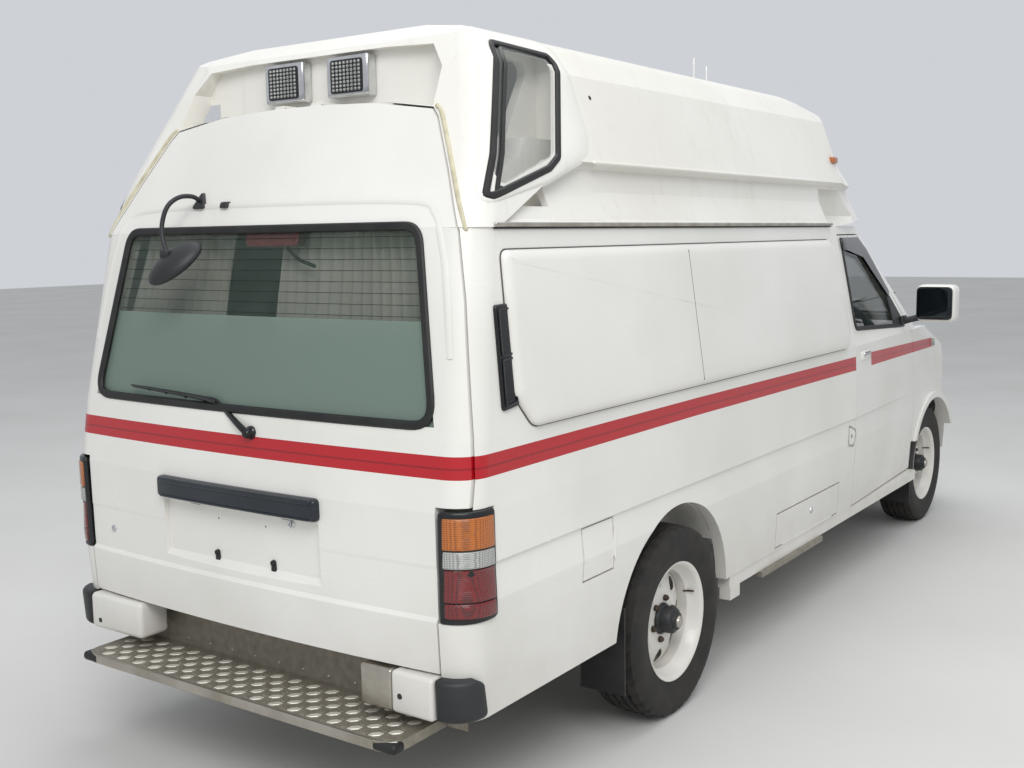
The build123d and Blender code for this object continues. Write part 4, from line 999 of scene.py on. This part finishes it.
BEACON_RUBBER = [(-1050, 1838), (-1016, 1829), (-702, 1918), (-635, 1957), (-459, 2266), (-473, 2303),
                 (-777, 2312), (-800, 2290)]
BEACON_CENTRE = np.array((-745.0, 2100.0))
CORNER_SKIN = [(-1082, 1806), (-720, 1880), (-440, 1972), (-400, 2030), (-400, 2362), (-790, 2362),
               (-826, 2335)]
RUBBER_SECTION = [(-11, -6), (-11, 3), (-7, 7), (0, 8), (7, 7), (11, 3), (11, -6)]
COVE_X, COVE_Z = (-700, -405), (1775, 1956)
RAIL_X, RAIL_Z = (-430, 1500), 1957.0
MOULDING_X, MOULDING_Z = (-1030, 1640), 1763.0
for side, hand in SIDES:
    column = roof_corner(side)
    frame_line = inset(rounded(BEACON_RUBBER, 34, 10, 7), 11)
    skin = surround(rounded(CORNER_SKIN, 40, 10), frame_line, BEACON_CENTRE, column,
                    [(0.0, -14), (0.0, 2.5), (0.25, 4.5), (0.6, 4.5), (0.85, 2.0), (1.0, -4), (0.9, -12),
                     (0.3, -14)])
    piece("roof_corner_skin_" + hand, tidy(*skin), gel, "body", "white_frp", 50)
    rubbers = [rim(frame_line, column, RUBBER_SECTION, 2.0)]
    inner = smooth_path([(-712, 2299), (-752, 2268), (-976, 1888), (-972, 1862), (-936, 1862)], 40)
    rubbers.append(rim(inner, column, [(-8, -8), (-8, 2), (0, 5), (8, 2), (8, -8)], 1.0, False))
    piece("beacon_window_rubber_" + hand, rubbers, seal_rubber, "body", "black_rubber")
    side_of_roof = on_flank(ROOF_ROWS, side)
    x = np.linspace(*COVE_X, 12)[:, None]
    z = np.linspace(*COVE_Z, 9)[None, :]
    grid = np.concatenate([side_of_roof(x, z, 0.4)[None], side_of_roof(x, z, -24.0)[None]])
    rows, columns = grid.shape[1:3]
    quads = lattice(rows, columns)
    last, layer = columns - 1, rows * columns
    ring = np.concatenate([np.arange(columns), np.arange(1, rows) * columns + last,
                           (rows - 1) * columns + np.arange(last - 1, -1, -1),
                           np.arange(rows - 2, 0, -1) * columns])
    sides = np.stack([ring, np.roll(ring, -1), np.roll(ring, -1) + layer, ring + layer], -1)
    cove = tidy(grid.reshape(-1, 3), [quads, quads[:, ::-1] + layer, sides[:, ::-1]])
    piece("roof_cove_" + hand, cove, gel, "body", "white_frp", 50)
    rail = side_of_roof(np.linspace(*RAIL_X, 60), RAIL_Z, -1.0)
    moulding_x = np.linspace(*MOULDING_X, 70)
    load_side = on_flank(LOAD_ROWS, side)
    moulding = load_side(moulding_x, MOULDING_Z, 9.0)
    # Thin black tube just under the moulding: painted shade of the gap along the roof seam
    shadow = load_side(moulding_x, MOULDING_Z - 10.0, 4.0)
    piece("roof_rail_" + hand, tube(rail, 6.5, (0, side, 0.3), 10), gel, "body", "white_frp")
    piece("seam_moulding_" + hand, tube(moulding, 6, (0, side, 0.3), 10), aluminium, "body",
          "chequer_plate")
    piece("seam_gap_painted_shade_" + hand, tube(shadow, 3, (0, side, 0.3), 8), seal_rubber, "body", "black_rubber")
    bead = smooth_path([(776, 1752), (752, 1800), (688, 1922), (600, 2078), (572, 2108)], 40)
    path = tail(side * bead[:, 0], bead[:, 1], 0.5)
    piece("sealant_bead_" + hand, tube(path, np.full(40, 7.0), (1, 0, 0.2), 8), sealant, "body",
          "white_frp")

# Work lamps: chromed case, black field and eight by eight cells
LAMP_FACE_X = -872.0
CELLS, CELL_WIDE, CELL_HIGH = 8, 15.6, 11.8
for side, hand in SIDES:
    near, far = sorted((52 * side, 228 * side))
    low, high = (LAMP_FACE_X, near, 2174.0), (-826.3, far, 2302.0)
    shells = [block(low, high, 9)]
    middle = np.array([(low[1] + high[1]) / 2, (low[2] + high[2]) / 2])
    face = rearward(LAMP_FACE_X)
    field = rounded(oblong(-68, -52, 68, 52), 10, 20) + (-middle[0], middle[1])
    piece("work_lamp_case_" + hand, shells, chrome, "body", "grey_plastic",
          replaces=("roof_work_lamps",) if hand == "right" else ())
    piece("work_lamp_field_" + hand, pad(field, face, 3, 2, -1), lamp_black, "body", "black_plastic")
    cells = []
    for i in range(CELLS):
        for j in range(CELLS):
            u, v = -middle[0] + (i - 3.5) * CELL_WIDE, middle[1] + (j - 3.5) * CELL_HIGH
            cells.append(knob(face, u, v, [(0, 7.5), (3.2, 6.6), (4.9, 4.4), (5.4, 2.8), (0, 2.6)], 8))
    piece("work_lamp_cells_" + hand, cells, clear_lens, "body", "lamp_clear")

# Sides: covers over the windows with a grey rim round their edges, vents, hatch lock and small fittings
COVER_RIGHT = [(-1010, 1692), (1571, 1692), (1655, 1644), (1715, 1457), (1755, 1230), (1720, 1183),
               (-918, 1186), (-1004, 1287)]
COVER_LEFT = [(-1010, 1692), (492, 1692), (492, 1186), (-918, 1186), (-1004, 1287)]
CORNERS_RIGHT, CORNERS_LEFT = (30, 30, 60, 90, 60, 40, 60, 40), (40, 30, 30, 60, 60)
COVERS = [
    # side, name, corners, their radii, node replaced
    (-1.0, "window_cover_right", COVER_RIGHT, CORNERS_RIGHT, ("window_covers",)),
    (1.0, "window_cover_left", COVER_LEFT, CORNERS_LEFT, ()),
]
grey_rim_lines = []
for side, name, corners, radii, replaced in COVERS:
    outline = rounded(corners, radii, 40, 8)
    place = on_flank(LOAD_ROWS, side)
    piece(name, pad(outline, place, 25, 18, -2, 6, 0.0, 34), enamel_plain, "body", "white_paint", 60,
          replaces=replaced)
    # Thin grey rim round each cover's edge; on the right cover also a grey line where its two panels meet
    grey_rim_lines.append(rim(inset(outline, -1.0), place, [(-3, -1), (-3, 2), (0, 3), (3, 2), (3, -1)]))
grey_rim_lines.append(ruled(on_flank(LOAD_ROWS, -1.0), 115, 163, 1672, 1206, 24.6, 1.4))
piece("cover_grey_rims", grey_rim_lines, grey_plastic, "body", "grey_plastic")
VENT = [(-1063, 1542), (-989, 1544), (-982, 1256), (-1062, 1246)]
VENT_SLOTS = [[(-1052, 1530), (-1002, 1531), (-999, 1404), (-1051, 1402)],
              [(-1051, 1390), (-999, 1392), (-995, 1268), (-1051, 1260)]]
for side, hand in SIDES:
    place = on_flank(LOAD_ROWS, side)
    shells = [pad(rounded(VENT, 12, 20), place, 9, 5, -2)]
    shells += [rim(rounded(slot, 8, 15), place, [(-3, 0), (-3, 4), (0, 5), (3, 4), (3, 0)], 8.0)
               for slot in VENT_SLOTS]
    piece("side_vent_grille_" + hand, shells, gloss_black, "body", "black_plastic",
          replaces=("side_vents",) if hand == "right" else ())
flat_flank = on_flank(BODY_ROWS, -1.0)
piece("hatch_lock", knob(flat_flank, 1317, 488, [(0, 3), (7, 3), (9, 5), (13, 4), (15, 0), (0, -2)], 24),
      chrome, "storage_hatch", "chequer_plate")
recess = rounded([(1873, 773), (1779, 806), (1752, 718), (1827, 702)], (22, 14, 14, 22), 12, 6)
piece("filler_recess",
      [rim(recess, flat_flank, [(-6, -1), (-4, 2), (0, 3.2), (4, 2), (6, -1)]),
       knob(flat_flank, 1806, 752, [(0, 2), (9, 2), (12, 0), (0, -1)], 20)], aluminium, "body",
      "chequer_plate")
piece("side_plug", knob(roof_corner(-1.0), -327, 2173, [(0, 1), (7, 1), (9, -0.5), (0, -1)], 16),
      seal_rubber, "body", "black_rubber")
piece("roof_marker_lamps", both(block((1800, -756, 2050), (1862, -716, 2080), 8)), amber_lens, "body",
      "lamp_lens")


# Wheels: tyres with a ribbed tread, white steel wheels with eight slots, hubs and nuts
TYRE_RADIUS = 345.0
TREAD_HALF = 76.0
TYRE_SIDES = 216
GROOVE_DEPTH, SHOULDER_CUT, MIDDLE_CUT = 7.5, 6.0, 3.0
BARREL = [(216, 88), (215, 80), (205, 74), (202, 58), (188, 44), (186, -30), (200, -60), (204, -76),
          (214, -82),
          (216, -88), (210, -88), (198, -78), (194, -60), (179, -34), (179, 38), (195, 56), (198, 74),
          (208, 86)]


def round_part(profile, radius_change=None, sides=96):
    """Closed profile of radius and offset turned about the wheel's axis, y; faces close the ring both ways.
    radius_change, an array of profile by sides, is added to the radius."""
    profile = np.asarray(profile, float)
    angle = np.linspace(0, 2 * math.pi, sides, endpoint=False)
    radius = profile[:, :1] + (0.0 if radius_change is None else radius_change)
    radius = np.broadcast_to(radius, (len(profile), sides))
    points = np.stack([radius * np.cos(angle), np.broadcast_to(profile[:, 1:], radius.shape),
                       radius * np.sin(angle)], -1)
    return tidy(points.reshape(-1, 3), [lattice(len(profile), sides, True, True)])


def tyre():
    """Tread with four grooves round it and slanted cuts in its shoulders; sidewalls swell and end in
    the beads."""
    edges = [groove + edge for groove in (-48, -16, 16, 48) for edge in (-5, -3.5, 3.5, 5)]
    offsets = np.array([-TREAD_HALF] + edges + [TREAD_HALF])
    crown = TYRE_RADIUS - 4.5 * (offsets / TREAD_HALF) ** 4
    depth = np.zeros(len(offsets))
    for k in range(4):
        depth[2 + 4 * k:4 + 4 * k] = -GROOVE_DEPTH
    side = [(338, 86), (322, 94), (300, 97.4), (272, 97.4), (246, 92), (228, 88), (217, 86), (214, 80),
            (214, -80),
            (217, -86), (228, -88), (246, -92), (272, -97.4), (300, -97.4), (322, -94), (338, -86)]
    profile = np.concatenate([np.stack([crown + depth, offsets], -1), side])
    cut = np.zeros((len(profile), TYRE_SIDES))
    column = np.arange(TYRE_SIDES)
    for row, offset in enumerate(profile[:, 1]):
        slant = int(round(abs(offset) / 18.0))
        notch = ((column + slant) % 6) < 1
        if profile[row, 0] > 335 and abs(offset) > 44:
            cut[row, notch] = -SHOULDER_CUT
        elif profile[row, 0] > 343 and abs(offset) < 12:
            cut[row, ((column + slant) % 9) < 1] = -MIDDLE_CUT
    return round_part(profile, cut, TYRE_SIDES)


def slotted_disc():
    """Wheel disc of eight equal sectors: each is a skin between its slot and its sector's edge, pressed
    to a dish that is proud round the hub and falls away to the rim."""
    half, low, high, middle = 22.5, 46.0, 181.0, 143.0
    r = np.linspace(low, high, 13)
    t = np.linspace(-half, half, 11)
    edge = np.concatenate([np.stack([np.full(12, half), r[:-1]], -1),
                           np.stack([t[::-1][:-1], np.full(10, high)], -1),
                           np.stack([np.full(12, -half), r[::-1][:-1]], -1),
                           np.stack([t[:-1], np.full(10, low)], -1)])
    way = np.arctan2(edge[:, 1] - middle, edge[:, 0] * 2.5)
    slot = np.stack([10.2 * np.cos(way) * (1 + 0.3 * np.sin(way)), middle + 25 * np.sin(way)], -1)
    shares = (0.0, 0.05, 0.14, 0.4, 0.7, 1.0)
    lift = np.array((-3.0, -0.8, 0.0, 0.0, 0.0, 0.0))
    rings = np.stack([slot + (edge - slot) * s for s in shares])
    shells = []
    for k in range(8):
        angle = np.radians(rings[..., 0] + 45.0 * k)
        radius = rings[..., 1]
        offset = np.interp(radius, [46, 104, 112, 150, 168, 181], [26, 26, 23, 12, 4, -4]) + lift[:, None]
        points = np.stack([radius * np.cos(angle), offset, radius * np.sin(angle)], -1)
        shells.append((points.reshape(-1, 3), [lattice(len(shares), len(edge), False, True)]))
    return shells


HUB = [(0, 96), (26, 95), (32, 92), (34, 84), (44, 80), (48, 74), (49, 40), (54, 36), (57, 30), (57, 20),
       (0, 20)]
HUB_CAP = [(0, 106), (12, 105.5), (19, 103), (22, 98), (22, 90), (0, 90)]
NUT = [(0, 20), (6, 19), (9, 15), (11.5, 12), (11.5, 0), (0, 0)]
tyre_shell, disc_shells, barrel_shell = tyre(), slotted_disc(), round_part(BARREL)
NUT_CIRCLE = 75
PLATE_THICKNESS = 0.005
for end in ("rear", "front"):
    for side, hand in SIDES:
        low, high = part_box("tyre_%s_%s" % (end, hand))
        centre = (np.array(low) + np.array(high)) * 500 + (AXLE_TO_MIDDLE, 0, 0)
        turn = np.diag((1.0, side, 1.0))
        name, body = "%s_%s" % (end, hand), "wheel_%s_%s" % (end, hand)

        def set_up(shells):
            return [tidy(*moved(shell, turn, centre)) for shell in shells]

        piece("tyre_tread_" + name, set_up([tyre_shell]), tyre_rubber, body, "tyre", 28,
              replaces=("tyre_" + name,))
        piece("steel_wheel_barrel_" + name, set_up([barrel_shell]), enamel_plain, body, "white_paint", 40,
              replaces=("wheel_" + name,))
        disc = [moved(shell, turn, centre) for shell in disc_shells]
        if side < 0:
            disc = [(shell[0], [array[:, ::-1] for array in shell[1]]) for shell in disc]
        made = piece("steel_wheel_disc_" + name, disc, enamel_plain, body, "white_paint", 50)
        wall = made.modifiers.new("plate", "SOLIDIFY")
        wall.thickness = PLATE_THICKNESS
        wall.offset = -1.0
        axis = (0, 1.0, 0)
        hub = lathe(HUB, (0, 0, 0), axis, 32, (1, 0, 0))
        cap = lathe(HUB_CAP, (0, 0, 0), axis, 28, (1, 0, 0))
        nuts = [lathe(NUT, (NUT_CIRCLE * math.cos(a), 25, NUT_CIRCLE * math.sin(a)), axis, 6, (1, 0, 0))
                for a in np.radians(np.arange(6) * 60 + 15)]
        valve = tube([(168, 30, 60), (172, 50, 62), (173, 66, 63)], 4, (0, 0, 1), 8)
        piece("hub_" + name, set_up([hub]), black_plastic, body, "black_plastic")
        piece("hub_cap_" + name, set_up([cap]), aluminium, body, "chequer_plate")
        piece("wheel_nuts_" + name, set_up(nuts + [valve]), cast_iron, body, "iron")


# Cab: window seals, wind deflector, door mirrors, handles, seats and steering wheel
def on_nose(rows):
    """Placing on the front face: u is y, v is z, h is the height above the surface."""
    def place(u, v, h):
        u, v, h = spread(u, v, h)
        return np.stack([nose_x(u, v, rows) + h, u, v], -1)
    return place


DOOR_WINDOW = [(1930, 1262), (2850, 1215), (2395, 1650), (1930, 1668)]
DEFLECTOR = [(1916, 1700), (2370, 1700), (2480, 1640), (2700, 1402), (2652, 1372), (2440, 1585),
             (2330, 1628), (1916, 1640)]
QUARTER = [(2640, 1213), (2866, 1204), (2640, 1450)]
THIN_SEAL = [(-11, -3), (-11, 3), (-7, 6), (7, 6), (11, 3), (11, -3)]
MIRROR_LOW, MIRROR_HIGH = (2768, -1078, 1240), (2896, -872, 1438)
for side, hand in SIDES:
    cab_side = on_flank(CAB_ROWS, side)
    low_side = on_flank(BODY_ROWS, side)
    door = "cab_door_" + hand
    window_seal = rim(inset(rounded(DOOR_WINDOW, (30, 26, 60, 40), 40, 6), -2.0), cab_side, THIN_SEAL)
    piece("door_window_seal_" + hand, window_seal, seal_rubber, door, "black_rubber")
    piece("wind_deflector_" + hand, pad(rounded(DEFLECTOR, 18, 30), cab_side, 13, 7, -1), gloss_black,
          door, "black_plastic")
    piece("mirror_quarter_panel_" + hand, pad(rounded(QUARTER, 12, 30), cab_side, 6, 4, -1),
          black_plastic, door, "black_plastic")
    shell = block(MIRROR_LOW, MIRROR_HIGH, 34, 6)
    face = rearward(MIRROR_LOW[0])
    outline = rounded(oblong(884, 1256, 1064, 1424), 26, 30, 7)
    rim_pad = pad(rounded(oblong(880, 1252, 1068, 1428), 28, 30, 7), face, 2.5, 2, -1)
    glass_pad = pad(outline, face, 4.0, 1, 0)
    arm = tube([(2806, -796, 1238), (2812, -840, 1248), (2822, -890, 1262)], np.array((21, 17, 18)),
               (1, 0, 0), 12)
    foot = block((2770, -812, 1218), (2850, -790, 1268), 9)
    groups = [("door_mirror_shell_", [shell], enamel_plain, "white_paint"),
              ("door_mirror_arm_", [arm, foot, rim_pad], black_plastic, "black_plastic"),
              ("door_mirror_glass_", [glass_pad], mirror_glass, "clear_plastic")]
    for name, shells, finish_of_it, slot in groups:
        if side > 0:
            shells = [mirrored(one) for one in shells]
        piece(name + hand, shells, finish_of_it, door, slot,
              replaces=("door_mirror_" + hand,) if name.startswith("door_mirror_shell") else ())
    handle = pad(rounded(oblong(1958, 1104, 2096, 1146), 12, 20), low_side, 7, 4, -1)
    piece("door_handle_cup_" + hand, handle, enamel_plain, door, "white_paint")
    flap = [pad(rounded(oblong(1968, 1124, 2080, 1142), 7, 20), low_side, 15, 6, 5)]
    flap.append(knob(low_side, 2088, 1112, [(0, 9), (6, 9), (8, 7), (8, 5), (0, 5)], 16))
    piece("door_handle_flap_" + hand, flap, chrome, door, "chequer_plate")
    repeater = pad(rounded(oblong(3396, 1052, 3420, 1098), 8, 15), low_side, 16, 8, -1)
    piece("side_repeater_" + hand, repeater, clear_lens, "body", "lamp_clear")
    ring = np.linspace(0, 2 * math.pi, 28, endpoint=False)
    grip = np.stack([2048 + 38 * np.cos(ring), np.full(28, side * 610.0), 1590 + 42 * np.sin(ring)], -1)
    piece("grip_ring_" + hand, tube(grip, 6.5, (0, 1, 0), 10, True), black_plastic, "body", "black_plastic")


def seat(y, hand):
    """Seat of three stuffed parts: squab, backrest and headrest, each a crowned pad with a rounded edge."""
    squab_at = on_plane((0, 0, 640.0), (1, 0, 0), (0, 1, 0))
    squab = pad(rounded(oblong(2190, y - 240, 2715, y + 240), 60, 60), squab_at, 150, 55, -38, 5, 22)
    back_at = on_plane((2296.0, y, 800), (0, 1, 0), (-0.13, 0, 1))
    back = pad(rounded([(-240, 0), (240, 0), (215, 540), (-215, 540)], (50, 50, 90, 90), 60), back_at, 60,
               50, -62, 5, 18)
    rest = pad(rounded([(-120, 560), (120, 560), (110, 665), (-110, 665)], 40, 40), back_at, 34, 30, -40, 5,
               8)
    posts = [tube([back_at(s * 60, v, -5) for v in (520, 560, 600)], 6) for s in (-1, 1)]
    for name, shell, fill in (("seat_squab_", squab, 0.7), ("seat_backrest_", back, 0.8),
                              ("seat_headrest_", rest, 0.8)):
        made = piece(name + hand, shell, seat_cloth, "body", "seat_fabric", 70,
                     replaces=("cab_seats",) if name == "seat_squab_" and hand == "right" else ())
    piece("headrest_posts_" + hand, posts, chrome, "body", "chequer_plate")


seat(-420.0, "right")
seat(420.0, "left")
spin = np.linspace(0, 2 * math.pi, 48, endpoint=False)
wheel_up, wheel_out = np.array((0.42, 0, 0.908)), np.array((-0.908, 0, 0.42))
wheel_at = np.array((2790.0, -420.0, 1150.0))
wheel_across = np.array((0, 1.0, 0))
grip_line = wheel_at + 185 * (np.cos(spin)[:, None] * wheel_up + np.sin(spin)[:, None] * wheel_across)
spoke_ways = [wheel_up * c + wheel_across * s for c, s in ((-0.25, 0.97), (-0.25, -0.97), (-1.0, 0.05))]
spokes = [tube([wheel_at - wheel_out * 18, wheel_at + way * 90 - wheel_out * 10, wheel_at + way * 182], 10,
               wheel_out, 8) for way in spoke_ways]
boss = lathe([(0, 10), (42, 8), (52, 0), (52, -30), (0, -30)], wheel_at, wheel_out, 28, wheel_up)
column_tube = tube([wheel_at - wheel_out * down for down in (25, 90, 160)], 26, (0, 1, 0), 14)
piece("steering_wheel", [tube(grip_line, 13, wheel_out, 12, True), boss, column_tube] + spokes,
      black_plastic, "body", "black_plastic")

# Front: windscreen rubber, wipers, a black block as painted shade in the cowl gap, and the roof's two
# aerials
nose_glass = on_nose(CAB_ROWS)
screen = rounded([(-700, 1250), (700, 1250), (575, 1690), (-575, 1690)], (60, 60, 70, 70), 50, 8)
piece("windscreen_rubber", rim(screen, nose_glass, SEAL_SECTION), seal_rubber, "body", "black_rubber")
front_wipers = []
for y in (-60.0, 560.0):
    pivot_at = nose_glass(y, 1222, 10)
    tip = nose_glass(y - 430, 1345, 16)
    half_way = nose_glass(y - 215, 1275, 24)
    front_wipers += [tube(smooth_path([pivot_at, half_way, tip], 18), np.linspace(8, 4, 18), (1, 0, 0), 8),
                     tube(smooth_path([nose_glass(y - 170 - k * 125, 1268 + k * 30 + (k == 1) * 6, 10)
                                       for k in range(5)], 20), 4.5, (1, 0, 0), 8),
                     lathe([(0, 8), (14, 7), (18, 0), (18, -8), (0, -8)], pivot_at, (1, 0, 0), 20)]
piece("windscreen_wipers", front_wipers, gloss_black, "body", "black_plastic")
bonnet_low, bonnet_high = (np.array(corner) * 1000 + (AXLE_TO_MIDDLE, 0, 0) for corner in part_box("bonnet"))
# Black block across the slit between bonnet and windscreen: painted shade of the gap
cowl = block((bonnet_low[0] - 120, -690, bonnet_high[2] - 66),
             (bonnet_low[0] + 20, 690, bonnet_high[2] - 44), 8)
piece("cowl_gap_painted_shade", cowl, black_plastic, "body", "black_plastic")
stubs = [tube([(x, y, 2350.0), (x, y, 2390.0), (x, y, top)], 3.0, (1, 0, 0), 8)
         for x, y, top in ((793.0, -524.0, 2440.0), (916.0, -521.0, 2420.0))]
piece("roof_aerials", stubs, enamel_plain, "body", "white_paint")

# Left side: sliding door window rubber, handle and the rail behind the door
left_upper = on_flank(LOAD_ROWS, 1.0)
left_lower = on_flank(BODY_ROWS, 1.0)
window = rounded([(700, 1230), (1690, 1230), (1575, 1600), (700, 1600)], 40, 50, 6)
piece("sliding_window_rubber", rim(window, left_upper, SEAL_SECTION), seal_rubber, "body", "black_rubber")
slide_cup = pad(rounded(oblong(1640, 1098, 1780, 1142), 12, 20), left_lower, 7, 4, -1)
piece("sliding_door_handle_cup", slide_cup, black_plastic, "body", "black_plastic")
slide_grip = pad(rounded(oblong(1652, 1118, 1768, 1138), 7, 20), left_lower, 16, 6, 5)
piece("sliding_door_handle", slide_grip, chrome, "body", "chequer_plate")
rail_section = [(-16, -1), (-16, 6), (-12, 9), (12, 9), (16, 6), (16, -1)]
rail_points = np.stack([np.linspace(-640, 548, 40), np.full(40, 1012.0)], -1)
piece("sliding_door_rail_cover", rim(rail_points, left_lower, rail_section, 0.0, False), enamel_plain,
      "body", "white_paint")


# The frame's own pieces: finish by material slot, and by name where a slot has two finishes
SLOT_FINISH = {
    "white_paint": enamel, "white_frp": gel, "black_plastic": black_plastic, "black_rubber": seal_rubber,
    "tyre": tyre_rubber, "green_glass": cab_glass, "clear_plastic": beacon_glass, "lamp_lens": red_lens,
    "lamp_clear": clear_lens, "chequer_plate": plate_painted_shade, "chassis_black": chassis_paint,
    "iron": cast_iron,
    "exhaust_steel": exhaust_steel, "seat_fabric": seat_cloth, "grey_plastic": grey_plastic,
}
NODE_FINISH = {
    "tailgate_glass": tail_glass, "headlamps": head_lens, "bumper_boxes": enamel_plain,
    "nose_panel": enamel_plain,
    "bonnet": enamel_plain, "door_mirror_left": enamel_plain, "door_mirror_right": enamel_plain,
    "wheel_front_left": enamel_plain, "wheel_front_right": enamel_plain, "wheel_rear_left": enamel_plain,
    "wheel_rear_right": enamel_plain, "window_covers": enamel_plain, "side_vents": enamel_plain,
    "front_bumper": enamel_plain, "rear_step": plate_painted_shade,
}
for part in frame["record"]["subparts"]:
    node = frame["nodes"][part["node"]]
    for place in node.material_slots:
        place.material = NODE_FINISH.get(part["node"], SLOT_FINISH[part["material_slot"]])


# Studio: a pale matt floor, an even pale sky and two large soft lamps
def studio_floor():
    """Square floor, 80 m wide, of pale rolled vinyl with a faint mottle."""
    reach = 40.0
    mesh = bpy.data.meshes.new("studio_floor")
    mesh.from_pydata([(-reach, -reach, 0), (reach, -reach, 0), (reach, reach, 0), (-reach, reach, 0)], [],
                     [(0, 1, 2, 3)])
    mesh.materials.append(weathered("rolled_vinyl_floor", "#cfcecb", "#c9c8c4", 1.5, 0.004, 0.00005,
                                    Roughness=0.85))
    floor = bpy.data.objects.new("studio_floor", mesh)
    bpy.context.collection.objects.link(floor)


def soft_lamp(name, place, aim, size, power):
    """Rectangular lamp at a place in metres, turned towards its aim."""
    data = bpy.data.lights.new(name, "AREA")
    data.shape = "RECTANGLE"
    data.size, data.size_y = size
    data.energy = power
    lamp = bpy.data.objects.new(name, data)
    bpy.context.collection.objects.link(lamp)
    turn = (Vector(place) - Vector(aim)).to_track_quat("Z", "Y").to_matrix().to_4x4()
    lamp.matrix_world = Matrix.Translation(place) @ turn


studio_floor()
sky = bpy.data.worlds.new("studio_sky")
bpy.context.scene.world = sky
sky.use_nodes = True
sky.node_tree.nodes["Background"].inputs["Color"].default_value = linear("#eef2f8")
sky.node_tree.nodes["Background"].inputs["Strength"].default_value = 0.72
soft_lamp("over_the_tail", (-7.0, -4.5, 6.5), (-1.0, 0.0, 1.0), (5.0, 4.0), 420.0)
soft_lamp("from_above", (0.5, 0.0, 7.5), (0.3, 0.0, 0.0), (7.0, 5.0), 240.0)
bpy.context.scene.view_settings.view_transform = "Standard"
